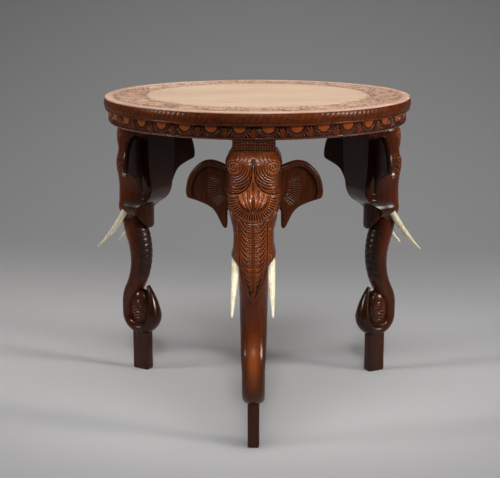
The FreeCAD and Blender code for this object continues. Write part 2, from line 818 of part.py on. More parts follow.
drive(Sketcher.Constraint("DistanceX", 0, 1, 0, 2, rim_x), "dims.top_radius - dims.top_bead_step")
drive(Sketcher.Constraint("DistanceY", 1, 1, 1, 2, dim("top_bead_height")), "dims.top_bead_height")
drive(Sketcher.Constraint("DistanceY", 3, 1, 3, 2, dim("top_lip_height")), "dims.top_lip_height")
drive(Sketcher.Constraint("DistanceY", 0, 1, 4, 2, dim("top_thick")), "dims.top_thick")
bulge_height = "dims.top_thick - dims.top_bead_height - dims.top_lip_height"
drive(
    Sketcher.Constraint("Radius", bulge, top_sketch.Geometry[bulge].Radius),
    f"(({bulge_height})^2 / 4 + dims.top_bead_step^2) / (2 * dims.top_bead_step)",
)
top_turned = top_body.newObject("PartDesign::Revolution", "top_turned")
top_turned.Profile = top_sketch
top_turned.ReferenceAxis = (top_sketch, ["V_Axis"])
top_turned.Angle = 360

# Carved border: the ground that is cut away round the raised vine, its volutes and lotus buds
VINE_COUNT = 12
VINE_STEPS = 8
border_outer = dim("top_radius") - dim("border_set_in")
border_middle = border_outer - dim("border_width") / 2
border_floor = dim("top_thick") - dim("border_depth")
lotus_offset = dim("vine_swing") + dim("vine_half_width") + dim("lotus_gap") + dim("lotus_half_height")


def round_wire(centre, radius):
    return Part.Wire(Part.Circle(centre, Vector(0, 0, 1), radius).toShape())


def vine_wire(offset):
    count = VINE_COUNT * VINE_STEPS
    points = []
    for index in range(count):
        turn = 2 * math.pi * index / count
        reach = border_middle + dim("vine_swing") * math.cos(VINE_COUNT * turn) + offset
        points.append(Vector(reach * math.cos(turn), reach * math.sin(turn), border_floor))
    curve = Part.BSplineCurve()
    curve.interpolate(Points=points, PeriodicFlag=True)
    return Part.Wire(curve.toShape())


def lotus_wire(turn, reach):
    outwards = turn.multVec(Vector(1, 0, 0))
    across = turn.multVec(Vector(0, 1, 0))
    centre = outwards * reach + Vector(0, 0, border_floor)
    side_end = centre + across * dim("lotus_half_width")
    top_end = centre + outwards * dim("lotus_half_height")
    return Part.Wire(Part.Ellipse(side_end, top_end, centre).toShape())


def border_ground():
    middle = Vector(0, 0, border_floor)
    wires = [round_wire(middle, border_outer), round_wire(middle, border_outer - dim("border_width"))]
    wires += [vine_wire(dim("vine_half_width")), vine_wire(-dim("vine_half_width"))]
    for index in range(2 * VINE_COUNT):
        side = 1 if index % 2 == 0 else -1
        turn = Rotation(Vector(0, 0, 1), 180 * index / VINE_COUNT)
        volute_at = turn.multVec(Vector(border_middle - side * dim("volute_offset"), 0, border_floor))
        wires.append(round_wire(volute_at, dim("volute_radius")))
        wires.append(lotus_wire(turn, border_middle + side * lotus_offset))
    ground = Part.makeFace(wires, "Part::FaceMakerBullseye")
    return ground.extrude(Vector(0, 0, 2 * dim("border_depth")))


border_sink = carved("border_sink", border_ground())

under_top = at(0, 0, -dim("apron_thick"))
top_cuts = [copies("top_mortises", tenon_mortise, [spin(turn) * under_top for turn in LEGS.values()])]
segment_turns = [APRON_FIRST + SEGMENT_TURN * index for index in range(len(APRON_SEGMENTS))]
all_screw_turns = [turn + side for turn in segment_turns for side in screw_turns]
top_cuts.append(copies("top_screw_bores", screw_bore, [spin(turn) * under_top for turn in all_screw_turns]))
top_cuts.append(border_sink)
top_drilled = cut("top_drilled", top_body, fuse("top_tools", top_cuts))

# Nodes: every piece in its place
nodes = [copies("top_board", top_drilled, [at(0, 0, top_z)])]
for segment, turn in zip(APRON_SEGMENTS, segment_turns):
    master = leg_segment if segment in LEGS else plain_segment
    nodes.append(copies(f"apron_{segment}", master, [at(0, 0, apron_z) * spin(turn)]))
for where, turn in LEGS.items():
    place = leg_place(turn)
    nodes.append(copies(f"leg_{where}", leg, [place]))
    for name, side in SIDES.items():
        nodes.append(copies(f"ear_{where}_{name}", ears[name], [place * ear_places[name]]))
        nodes.append(copies(f"tusk_{where}_{name}", tusk, [place * tusk_place(side)]))
        nodes.append(copies(f"eye_{where}_{name}", eye, [place * eye_place(side)]))
leg_places = [leg_place(turn) for turn in LEGS.values()]
pupil_places = [place * eye_place(side) for place in leg_places for side in SIDES.values()]
nodes.append(copies("eye_pupils", pupil, pupil_places))
nodes.append(copies("tenon_pegs", tenon_peg, leg_places))
joint_turns = [turn + SEGMENT_TURN / 2 for turn in segment_turns]
nodes.append(copies("apron_splines", spline_key, [at(0, 0, apron_z) * spin(turn) for turn in joint_turns]))
nodes.append(copies("apron_screws", screw, [at(0, 0, apron_z) * spin(turn) for turn in all_screw_turns]))

doc.recompute()
for made in doc.Objects:
    if "Invalid" in made.State or "Error" in made.State:
        raise RuntimeError(f"{made.Label} did not build")
for node in nodes:
    shape = node.Shape
    if shape.isNull() or not shape.isValid() or not shape.Solids:
        raise RuntimeError(f"{node.Label} has no valid solid")

os.makedirs("parts", exist_ok=True)
for node in nodes:
    node.Shape.exportStep(f"parts/{node.Label}.step")
    print(node.Label, len(node.Shape.Solids), round(node.Shape.Volume))
print("height", round(top_z + dim("top_thick"), 1))
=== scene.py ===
import math
import bmesh
import bpy
import numpy as np
from mathutils import Matrix, Vector


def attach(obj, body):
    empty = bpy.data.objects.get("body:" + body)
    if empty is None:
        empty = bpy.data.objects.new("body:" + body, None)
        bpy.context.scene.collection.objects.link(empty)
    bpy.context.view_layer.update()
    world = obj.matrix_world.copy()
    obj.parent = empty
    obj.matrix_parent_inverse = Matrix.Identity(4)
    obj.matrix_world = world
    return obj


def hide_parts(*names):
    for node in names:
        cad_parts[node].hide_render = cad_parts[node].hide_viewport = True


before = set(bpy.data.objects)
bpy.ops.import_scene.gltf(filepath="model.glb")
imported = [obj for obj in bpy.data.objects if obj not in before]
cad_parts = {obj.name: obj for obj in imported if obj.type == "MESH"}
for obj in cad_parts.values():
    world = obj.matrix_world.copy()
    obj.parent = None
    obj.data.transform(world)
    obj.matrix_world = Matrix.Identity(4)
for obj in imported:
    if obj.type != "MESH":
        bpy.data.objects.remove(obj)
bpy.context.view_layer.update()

mm = 0.001
farAway = 99.0
scene = bpy.context.scene
print("frame loaded, nodes:", len(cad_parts))


class Plan(dict):
    # a dictionary whose entries can be read as plan.name
    __getattr__ = dict.__getitem__


def smoothStep(x):
    x = np.clip(x, 0, 1)
    return x * x * (3 - 2 * x)


def above(high, low, within):
    # 1 where high is above low by within or more, 0 where it is below
    return smoothStep((high - low) / within)


def bell(x, middle, width):
    return np.exp(-((x - middle) / width) ** 2)


def lengthAlong(points):
    return np.r_[0, np.cumsum(np.linalg.norm(np.diff(points, axis=0), axis=1))]


def throughPoints(knots, values, where):
    # natural cubic spline, values may have several columns
    x = np.asarray(knots, float)
    y = np.asarray(values, float).reshape(len(x), -1)
    gaps = np.diff(x)
    left = np.eye(len(x))
    right = np.zeros_like(y)
    for i in range(1, len(x) - 1):
        left[i, i - 1:i + 2] = gaps[i - 1], 2 * (gaps[i - 1] + gaps[i]), gaps[i]
        right[i] = 6 * ((y[i + 1] - y[i]) / gaps[i] - (y[i] - y[i - 1]) / gaps[i - 1])
    bend = np.linalg.solve(left, right)
    i = np.clip(np.searchsorted(x, where, side="right") - 1, 0, len(x) - 2)
    gap = gaps[i][:, None]
    f = ((where - x[i]) / gaps[i])[:, None]
    g = 1 - f
    curve = (g ** 3 - g) * bend[i] + (f ** 3 - f) * bend[i + 1]
    return g * y[i] + f * y[i + 1] + curve * gap ** 2 / 6


def curveThrough(points, count):
    points = np.asarray(points, float)
    steps = lengthAlong(points)
    return throughPoints(steps, points, np.linspace(0, steps[-1], count))


def polarSpot(radius, turn):
    return radius * np.array([math.cos(math.radians(turn)), math.sin(math.radians(turn))])


def arcLine(centre, radius, start, end, count):
    turn = np.radians(np.linspace(start, end, count))
    return np.c_[centre[0] + radius * np.cos(turn), centre[1] + radius * np.sin(turn)]


def spiralLine(centre, outer, inner, start, turns, count):
    return arcLine(centre, np.linspace(outer, inner, count), start, start + 360 * turns, count)


def strokeGap(points, line, halfWidth, reach=6.0):
    # distance from the edge of a stroke, negative inside it; halfWidth may change along the line
    line = np.asarray(line, float)
    widths = np.broadcast_to(np.asarray(halfWidth, float), (len(line),))
    gap = np.full(len(points), farAway)
    margin = reach + widths.max()
    near = np.all((points > line.min(0) - margin) & (points < line.max(0) + margin), axis=1)
    spots, best = points[near], gap[near]
    for i in range(len(line) - 1):
        along = line[i + 1] - line[i]
        share = np.clip(((spots - line[i]) @ along) / max(along @ along, 1e-9), 0, 1)
        away = spots - line[i] - share[:, None] * along
        width = widths[i] + (widths[i + 1] - widths[i]) * share
        best = np.minimum(best, np.sqrt((away ** 2).sum(1)) - width)
    gap[near] = best
    return gap


def taper(count, widest, peak=0.5, least=0.05):
    # half widths of a leaf-shaped stroke
    share = np.linspace(0, 1, count)
    rising, falling = share / peak, (share - peak) / (1 - peak)
    return widest * np.where(share < peak, np.sin(rising * np.pi / 2), np.cos(falling * np.pi / 2)) + least


def covered(gap, edge, soft):
    # 1 inside a stroke, 0 beyond its soft edge
    return above(edge, gap, soft)


def cutDepth(points, cuts, soft=0.55):
    # how deep the chisel went at each point; a cut is (line, half width, depth)
    depth = np.zeros(len(points))
    for line, halfWidth, deep in cuts:
        gap = strokeGap(points, line, halfWidth)
        depth = np.maximum(depth, deep * covered(gap, soft, 2 * soft))
    return depth


def thinning(line, wide, narrow, deep):
    return line, np.linspace(wide, narrow, len(line)), deep


def strokes(rows):
    # from rows of (points, count, half width, depth): no count keeps straight lines, two half widths are a taper
    made = []
    for points, count, half, deep in rows:
        line = curveThrough(points, count) if count else points
        made.append((line, taper(count, *half) if isinstance(half, tuple) else half, deep))
    return made


def wornMarks(cut, reach=3, cutFrom=0.15, darkAt=1.5, paleAt=0.7):
    # 1 deep in a cut, below 0 on the high edges beside one
    near = cut
    for axis in (0, 1):
        near = sum(np.roll(near, k, axis) for k in range(-reach, reach + 1)) / (2 * reach + 1)
    return np.where(cut > cutFrom, np.clip(cut / darkAt, 0, 1), -np.clip(near / paleAt, 0, 1))


def gridFaces(rows, cols, closed):
    spots = np.arange(rows * cols).reshape(rows, cols)
    after = np.roll(spots, -1, axis=1)
    faces = np.stack([spots[:-1], after[:-1], after[1:], spots[1:]], -1)
    if not closed:
        faces = faces[:, :-1]
    return faces.reshape(-1, 4).tolist()


def tubeShell(rings, dirtWearAndPaintedLight=None):
    # closed shell through rings of points, with a fan at each end
    rows, cols = rings.shape[:2]
    ends = np.stack([rings[0].mean(0), rings[-1].mean(0)])
    verts = np.concatenate([rings.reshape(-1, 3), ends])
    faces = gridFaces(rows, cols, True)
    start, end = rows * cols, rows * cols + 1
    last = (rows - 1) * cols
    for i in range(cols):
        j = (i + 1) % cols
        faces.append([start, j, i])
        faces.append([end, last + i, last + j])
    marks = np.zeros(len(verts))
    if dirtWearAndPaintedLight is not None:
        marks[:rows * cols] = dirtWearAndPaintedLight.reshape(-1)
    return verts, faces, marks


def newMesh(name, verts, faces, dirtWearAndPaintedLight):
    # each vertex carries a mark: how deep in a cut it lies, paler high edges, and where painted shade and painted
    # highlights go
    mesh = bpy.data.meshes.new(name)
    mesh.from_pydata(verts.tolist(), [], faces)
    mesh.attributes.new("dirtWearAndPaintedLight", "FLOAT", "POINT").data.foreach_set("value", dirtWearAndPaintedLight.reshape(-1))
    return mesh


def addObject(name, data):
    made = bpy.data.objects.new(name, data)
    scene.collection.objects.link(made)
    return made


def setFinish(mesh, finish):
    mesh.materials.clear()
    mesh.materials.append(finish)


def addPiece(name, mesh, finish, node, angle):
    # open ends filled, faces turned outwards, edges over the angle kept sharp
    work = bmesh.new()
    work.from_mesh(mesh)
    bmesh.ops.holes_fill(work, edges=[e for e in work.edges if e.is_boundary], sides=0)
    bmesh.ops.recalc_face_normals(work, faces=work.faces)
    work.to_mesh(mesh)
    work.free()
    mesh.shade_smooth()
    mesh.set_sharp_from_angle(angle=math.radians(angle))
    setFinish(mesh, finish)
    piece = addObject(name, mesh)
    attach(piece, "root")
    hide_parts(node)


def spin(degrees, axis="Z"):
    return Matrix.Rotation(math.radians(degrees), 3, axis)


def placed(points, origin, matrix):
    return np.asarray(points) @ np.array(matrix).T + np.asarray(origin, float)


def inWorld(shells, turn):
    # leg frame in millimetres to the table's frame in metres
    out = [legPlan.radius, 0, 0]
    return [((verts + out) @ np.array(spin(turn)).T * mm, faces, marks) for verts, faces, marks in shells]


def addShells(name, shells, finish, node, angle):
    # several closed shells in one mesh
    verts, faces, marks = [], [], []
    for shellVerts, shellFaces, shellMarks in shells:
        first = sum(len(v) for v in verts)
        verts.append(shellVerts)
        faces += [[first + i for i in face] for face in shellFaces]
        marks.append(shellMarks)
    mesh = newMesh(name, np.concatenate(verts), faces, np.concatenate(marks))
    addPiece(name, mesh, finish, node, angle)


def newFinish(name):
    finish = bpy.data.materials.new(name)
    finish.use_nodes = True
    return finish, finish.node_tree, finish.node_tree.nodes["Principled BSDF"]


def feed(tree, node, values):
    # values by socket name or number, each a link or a constant
    for key, value in values.items():
        if hasattr(value, "is_output"):
            tree.links.new(value, node.inputs[key])
        else:
            node.inputs[key].default_value = value


def addNode(tree, kind, values=None, **settings):
    made = tree.nodes.new(kind)
    for key, value in settings.items():
        setattr(made, key, value)
    feed(tree, made, values or {})
    return made.outputs


def objectSpace(tree, stretch=(1, 1, 1)):
    where = addNode(tree, "ShaderNodeTexCoord")["Object"]
    return addNode(tree, "ShaderNodeMapping", {"Vector": where, "Scale": stretch})["Vector"]


def heightOf(tree):
    return addNode(tree, "ShaderNodeSeparateXYZ", {0: objectSpace(tree)})["Z"]


def reachOf(tree):
    # distance from the table's axis
    flat = objectSpace(tree, (1, 1, 0))
    return addNode(tree, "ShaderNodeVectorMath", {0: flat}, operation="LENGTH")["Value"]


def dirtWearAndPaintedLightOf(tree):
    return addNode(tree, "ShaderNodeAttribute", attribute_name="dirtWearAndPaintedLight")["Fac"]


def noiseOn(tree, stretch, scale, detail, rough=0.6, warp=0.0):
    values = {"Scale": scale, "Detail": detail, "Roughness": rough, "Distortion": warp}
    return addNode(tree, "ShaderNodeTexNoise", {"Vector": objectSpace(tree, stretch), **values})["Fac"]


def ramp(tree, value, places, colours):
    made = tree.nodes.new("ShaderNodeValToRGB")
    feed(tree, made, {"Fac": value})
    band = made.color_ramp.elements
    while len(band) < len(places):
        band.new(0.5)
    for element, place, colour in zip(band, places, colours):
        element.position = place
        element.color = (*colour, 1)
    return made.outputs["Color"]


def mixIn(tree, factor, first, colour):
    second = colour if hasattr(colour, "is_output") else (*colour, 1)
    return addNode(tree, "ShaderNodeMix", {0: factor, 6: first, 7: second}, data_type="RGBA")[2]


def spread(tree, value, low, high, toLow, toHigh):
    values = {"Value": value, "From Min": low, "From Max": high, "To Min": toLow, "To Max": toHigh}
    return addNode(tree, "ShaderNodeMapRange", values)["Result"]


def maths(tree, way, *values):
    return addNode(tree, "ShaderNodeMath", dict(enumerate(values)), operation=way)[0]


def figureOf(tree, fibre, cloud, share):
    return maths(tree, "MULTIPLY_ADD", fibre, share, maths(tree, "MULTIPLY", cloud, 1 - share))


def bumpOn(tree, shader, height, strength, distance):
    values = {"Height": height, "Strength": strength, "Distance": distance}
    feed(tree, shader, {"Normal": addNode(tree, "ShaderNodeBump", values)["Normal"]})


# noises are stretch, scale, detail, roughness and warp; what goes by a value is from, to, first and last
carvedWoodLook = Plan(
    dark=(0.046, 0.0092, 0.0023), mid=(0.110, 0.0222, 0.0043), light=(0.185, 0.0395, 0.0076),
    # the dirt colour also serves as painted shade, the paler one as painted highlight
    worn=(0.300, 0.0720, 0.0155), dirt=(0.010, 0.0032, 0.0016), stops=(0.30, 0.50, 0.70),
    along=(1, 1, 0.09), fibre=(156, 6, 0.65, 0.6), cloud=((1, 1, 0.5), 9, 3, 0.5, 0.2), fibreShare=0.55,
    wornBy=(-0.7, -0.04, 0.7, 0), dirtBy=(0.02, 0.7, 0, 0.92), dullBy=(0, 1, 0, 0.35),
    gloss=(0.3, 0.7, 0.20, 0.34), shine=0.16, coatGloss=0.14,
    pores=((1, 1, 0.12), 420, 3), cloudBump=1.6, bump=(0.16, 0.0012),
)


def makeCarvedWood(name, look):
    # polished hardwood, grain stretched along one axis, dirt in the cuts, high edges abraded paler; the marks also
    # lay painted shade in the dirt colour and painted highlights in the paler colour
    finish, tree, shader = newFinish(name)
    fibre = noiseOn(tree, look.along, *look.fibre)
    cloud = noiseOn(tree, *look.cloud)
    colours = [look[key] for key in ("dark", "mid", "light")]
    colour = ramp(tree, figureOf(tree, fibre, cloud, look.fibreShare), look.stops, colours)
    # the marks: cut depth, paler high edges, painted shade and painted highlights
    depth = dirtWearAndPaintedLightOf(tree)
    colour = mixIn(tree, spread(tree, depth, *look.wornBy), colour, look.worn)
    colour = mixIn(tree, spread(tree, depth, *look.dirtBy), colour, look.dirt)
    # optionally darker towards the floor; painted shade towards the table's axis, where the top's shadow falls
    for key, place in (("darkTowardsFloor", heightOf), ("inside", reachOf)):
        if key in look:
            colour = mixIn(tree, spread(tree, place(tree), *look[key]), colour, look.dirt)
    rough = maths(tree, "ADD", spread(tree, fibre, *look.gloss), spread(tree, depth, *look.dullBy))
    feed(tree, shader, {
        "Base Color": colour, "Roughness": rough, "Specular IOR Level": look.shine,
        "Coat Weight": look.shine, "Coat Roughness": look.coatGloss})
    pores = noiseOn(tree, *look.pores)
    bumpOn(tree, shader, maths(tree, "MULTIPLY_ADD", cloud, look.cloudBump, pores), *look.bump)
    return finish


topLook = Plan(
    field=((0.53, 0.365, 0.250), (0.66, 0.468, 0.330), (0.76, 0.565, 0.420)),
    border=((0.46, 0.268, 0.178), (0.61, 0.387, 0.273), (0.74, 0.508, 0.378)),
    stops=(0.36, 0.5, 0.64), dirt=(0.055, 0.020, 0.010), edge=(0.16, 0.070, 0.036),
    fibre=((0.09, 1, 1), 95, 7, 0.62, 0.5), cloud=((0.5, 1, 1), 7, 3, 0.5, 0.3), fibreShare=0.5,
    punch=((1, 1, 1), 170, 3), punched=(0.52, 0.62, 0, 0.62), carved=(0.261, 0.265, 1, 0),
    ragged=(0.3, 0.7, -0.012, 0.012), fade=(0.192, 0.206, 0, 1), dirtBy=(0.02, 1, 0, 0.85),
    edgeBelow=(2.7, 1.8), gloss=(0.3, 0.7, 0.46, 0.66),
    pores=((0.06, 1, 1), 520, 3), fibreBump=1.2, bump=(0.12, 0.0008),
)


def makeTopWood(look, plan):
    # bleached planks in the middle, pinkish carved border, dark lines along the cuts
    finish, tree, shader = newFinish("bleachedTop")
    fibre, cloud = noiseOn(tree, *look.fibre), noiseOn(tree, *look.cloud)
    figure = figureOf(tree, fibre, cloud, look.fibreShare)
    field, border = (ramp(tree, figure, look.stops, look[key]) for key in ("field", "border"))
    # punched ground between the motifs, not on the plain fillet outside them
    reach = reachOf(tree)
    punched = spread(tree, noiseOn(tree, *look.punch), *look.punched)
    punched = maths(tree, "MULTIPLY", punched, spread(tree, reach, *look.carved))
    border = mixIn(tree, punched, border, look.dirt)
    ragged = maths(tree, "ADD", reach, spread(tree, cloud, *look.ragged))
    colour = mixIn(tree, spread(tree, ragged, *look.fade), field, border)
    colour = mixIn(tree, spread(tree, dirtWearAndPaintedLightOf(tree), *look.dirtBy), colour, look.dirt)
    low, high = ((plan.z - down) * mm for down in look.edgeBelow)
    colour = mixIn(tree, spread(tree, heightOf(tree), low, high, 1, 0), colour, look.edge)
    feed(tree, shader, {"Base Color": colour, "Roughness": spread(tree, fibre, *look.gloss)})
    pores = noiseOn(tree, *look.pores)
    bumpOn(tree, shader, maths(tree, "MULTIPLY_ADD", fibre, look.fibreBump, pores), *look.bump)
    return finish


boneLook = Plan(
    stain=((1, 1, 0.6), 70, 5, 0.6, 0.4), streak=((1, 1, 0.25), 260, 4), stops=(0.38, 0.52, 0.68),
    colours=((0.75, 0.67, 0.46), (0.82, 0.76, 0.585), (0.64, 0.47, 0.22)),
    streaked=(0.56, 0.76, 0, 0.35), streakColour=(0.56, 0.41, 0.20), gloss=(0.3, 0.7, 0.20, 0.36),
    through=0.08, throughReach=(0.004, 0.003, 0.002), bump=(0.12, 0.0006),
)


def makeBone(look):
    # cream bone, yellow-brown stains, fine lengthwise streaks
    finish, tree, shader = newFinish("oldBone")
    stain, streak = noiseOn(tree, *look.stain), noiseOn(tree, *look.streak)
    colour = ramp(tree, stain, look.stops, look.colours)
    colour = mixIn(tree, spread(tree, streak, *look.streaked), colour, look.streakColour)
    feed(tree, shader, {
        "Base Color": colour, "Roughness": spread(tree, streak, *look.gloss),
        "Subsurface Weight": look.through, "Subsurface Radius": look.throughReach})
    bumpOn(tree, shader, streak, *look.bump)
    return finish


pupilLook = Plan(
    speck=((1, 1, 1), 900, 3, 0.55), stops=(0.35, 0.7), gloss=(0.3, 0.7, 0.15, 0.3), metal=0,
    colours=((0.006, 0.004, 0.003), (0.020, 0.012, 0.009)),
)
steelLook = Plan(
    speck=((1, 1, 1), 600, 4, 0.55), stops=(0.3, 0.7), gloss=(0.3, 0.7, 0.35, 0.6), metal=1,
    colours=((0.16, 0.14, 0.12), (0.36, 0.34, 0.32)), bump=(0.1, 0.0003),
)


def makeSpeckled(name, look):
    finish, tree, shader = newFinish(name)
    speck = noiseOn(tree, *look.speck)
    feed(tree, shader, {
        "Base Color": ramp(tree, speck, look.stops, look.colours),
        "Roughness": spread(tree, speck, *look.gloss), "Metallic": look.metal})
    if "bump" in look:
        bumpOn(tree, shader, speck, *look.bump)
    return finish


legLook = Plan(
    carvedWoodLook, dark=(0.048, 0.0095, 0.0023), mid=(0.116, 0.0230, 0.0043), light=(0.192, 0.0400, 0.0074),
    # painted shade towards the table's axis, where the top's shadow falls on the legs; darker towards the floor
    worn=(0.37, 0.096, 0.024), darkTowardsFloor=(0.05, 0.22, 0.5, 0), inside=(0.250, 0.312, 0.82, 0), shine=0.17,
    gloss=(0.3, 0.7, 0.16, 0.28))
# the ears' wood is painted darker as shade, for they stand in the top's shadow
earPaintedShadeLook = Plan(
    carvedWoodLook, dark=(0.020, 0.0056, 0.0020), mid=(0.046, 0.0112, 0.0032), light=(0.085, 0.0205, 0.0052),
    worn=(0.13, 0.033, 0.009), along=(1, 1, 0.12), shine=0.11)
# the apron's paler colour is bright orange; it lays the bosses' painted highlight as well as the paler high ground
apronLook = Plan(carvedWoodLook, worn=(0.42, 0.090, 0.011), along=(0.4, 0.4, 1))
rimLook = Plan(carvedWoodLook, along=(0.4, 0.4, 1), shine=0.10)
legWood = makeCarvedWood("legWood", legLook)
earWoodPaintedShade = makeCarvedWood("earWoodPaintedShade", earPaintedShadeLook)
apronWood = makeCarvedWood("apronWood", apronLook)
rimWood = makeCarvedWood("rimWood", rimLook)
boneFinish = makeBone(boneLook)
pupilFinish = makeSpeckled("darkInlay", pupilLook)
steelFinish = makeSpeckled("dullSteel", steelLook)
print("finishes made")


def makeTurnRepeat(weldWithin=0.00002):
    tree = bpy.data.node_groups.new("turnRepeat", "GeometryNodeTree")
    sockets = {}
    kinds = {"Tile": "Geometry", "Count": "Int", "Step": "Float", "First": "Float", "Finish": "Material"}
    for label, kind in kinds.items():
        socket = tree.interface.new_socket(label, in_out="INPUT", socket_type="NodeSocket" + kind)
        sockets[label] = socket.identifier
    tree.interface.new_socket("Ring", in_out="OUTPUT", socket_type="NodeSocketGeometry")
    source = addNode(tree, "NodeGroupInput")
    line = {"Count": source["Count"], "Offset": (0, 0, 0)}
    points = addNode(tree, "GeometryNodeMeshLine", line, mode="OFFSET")[0]
    order = addNode(tree, "GeometryNodeInputIndex")[0]
    turn = maths(tree, "ADD", maths(tree, "MULTIPLY", order, source["Step"]), source["First"])
    euler = addNode(tree, "ShaderNodeCombineXYZ", {"Z": turn})[0]
    rotation = addNode(tree, "FunctionNodeEulerToRotation", {0: euler})[0]
    lay = {"Points": points, "Instance": source["Tile"], "Rotation": rotation}
    copies = addNode(tree, "GeometryNodeInstanceOnPoints", lay)[0]
    solid = addNode(tree, "GeometryNodeRealizeInstances", {0: copies})[0]
    weld = {"Geometry": solid, "Distance": weldWithin}
    welded = addNode(tree, "GeometryNodeMergeByDistance", weld)[0]
    paint = {"Geometry": welded, "Material": source["Finish"]}
    addNode(tree, "NodeGroupOutput", {0: addNode(tree, "GeometryNodeSetMaterial", paint)[0]})
    return tree, sockets


turnRepeat, turnSockets = makeTurnRepeat()


def repeatTile(name, tile, count, step, first, finish):
    # the tile's mesh, turned count times, baked to a plain mesh
    holder = addObject(name, tile)
    nodes = holder.modifiers.new("turnRepeat", "NODES")
    nodes.node_group = turnRepeat
    values = {"Count": count, "Step": math.radians(step), "First": math.radians(first), "Finish": finish}
    for label, value in values.items():
        nodes[turnSockets[label]] = value
    bpy.context.view_layer.update()
    graph = bpy.context.evaluated_depsgraph_get()
    shown = holder.evaluated_get(graph)
    mesh = bpy.data.meshes.new_from_object(shown, preserve_all_data_layers=True, depsgraph=graph)
    bpy.data.objects.remove(holder)
    return mesh


def polarTile(name, profile, angles, depth, dirtWearAndPaintedLight):
    # profile rows of (r, z), columns of angles; depth moves a spot by (dr, dz)
    radius = profile[:, 0][:, None] + depth[..., 0]
    height = profile[:, 1][:, None] + depth[..., 1]
    turn = np.radians(angles)[None, :]
    verts = np.stack([radius * np.cos(turn), radius * np.sin(turn), height], -1).reshape(-1, 3) * mm
    return newMesh(name, verts, gridFaces(len(profile), len(angles), False), dirtWearAndPaintedLight)


topPlan = Plan(
    z=573.19, under=550.2, ringIn=204, ringOut=263, lip=277.6, skin=2.6, inner=262, sink=1.6,
    tiles=12, columns=96, rowStep=0.98, margin=4, fieldRows=(0.4, 40, 90, 140, 180),
    filletRows=(270, 274, 276.6), edgeRound=((-0.3, 0.25), (0, 0.9)), underRows=(130, 0.4),
    vine=(14, 2.2), vineStep=0.75, volute=(15, 5), spiral=(2.2, 2.4, 2.1, 64),
    spiralCut=(0.7, 0.5, 0.9), lotus=(5, 10, 22.4), lotusVeins=(-6, -3, 0, 3, 6), veinEnds=(-4.2, 3.6),
    veinLean=0.35, veinCut=(0.4, 0.8), leafPeak=0.45, leafCut=(0.3, 0.7), leafSink=0.35,
    leaves=(
        (((-3, 5), (-6, 14), (-15, 25)), 3.3), (((0.5, 5), (1.5, 15), (-1, 27)), 3.4),
        (((4.5, 3.5), (8.5, 13), (11, 25.5)), 3.2), (((12, 21), (20, 26), (29, 26.6)), 2.0),
        (((-14, 14), (-17, 19), (-24, 26.5)), 1.7), (((9, 0), (12.5, 6), (13, 13)), 1.9)),
    soft=0.8, wall=(0.3, 0.9), ringsOff=2, ringCut=(1.0, 0.9, 0.7), outline=(0.6, 0.7),
    groundMark=0.45, outlineMark=1.05, lineMark=1.1,
)
topWood = makeTopWood(topLook, topPlan)


def borderShapes(plan):
    # what stands up from the sunk ring: vine, volutes, lotus buds and leaves; and the lines engraved on them
    middle = (plan.ringIn + plan.ringOut) / 2
    swing = plan.vine[0]
    size, offset = plan.volute
    inset, eye, whirl, count = plan.spiral
    budOut = plan.lotus[2]
    halfWave = 180 / plan.tiles
    turns = np.arange(-1.6 * halfWave, 3.6 * halfWave + 0.1, plan.vineStep)
    stem = np.array([polarSpot(middle + swing * math.cos(math.radians(plan.tiles * t)), t) for t in turns])
    volutes, buds, leaves, lines = [], [], [], []
    for k in range(-1, 4):
        side = 1 if k % 2 == 0 else -1
        out = polarSpot(1, halfWave * k)
        along = np.array([-out[1], out[0]])
        volutes.append(out * (middle - side * offset))
        buds.append((out * (middle + side * budOut), out, along))
        spiral = spiralLine(volutes[-1], size - inset, eye, halfWave * k + 90 * side, whirl * side, count)
        lines.append(thinning(spiral, *plan.spiralCut))
        foot, tip = (out * (middle + side * (budOut + end)) for end in plan.veinEnds)
        for lean in plan.lotusVeins:
            vein = np.stack([foot + along * lean * plan.veinLean, tip + along * lean])
            lines.append((vein, *plan.veinCut))
        # leaf clusters in the two free corners of each half wave
        out = polarSpot(1, halfWave * (k + 0.5))
        along = np.array([-out[1], out[0]])
        for flip in (1, -1):
            for points, half in plan.leaves:
                leaf = [out * middle + flip * (side * u * along + v * out) for u, v in points]
                leaf = curveThrough(leaf, 10)
                leaves.append((leaf, taper(10, half, plan.leafPeak)))
                lines.append((leaf[1:-1], *plan.leafCut))
    return stem, volutes, buds, leaves, lines


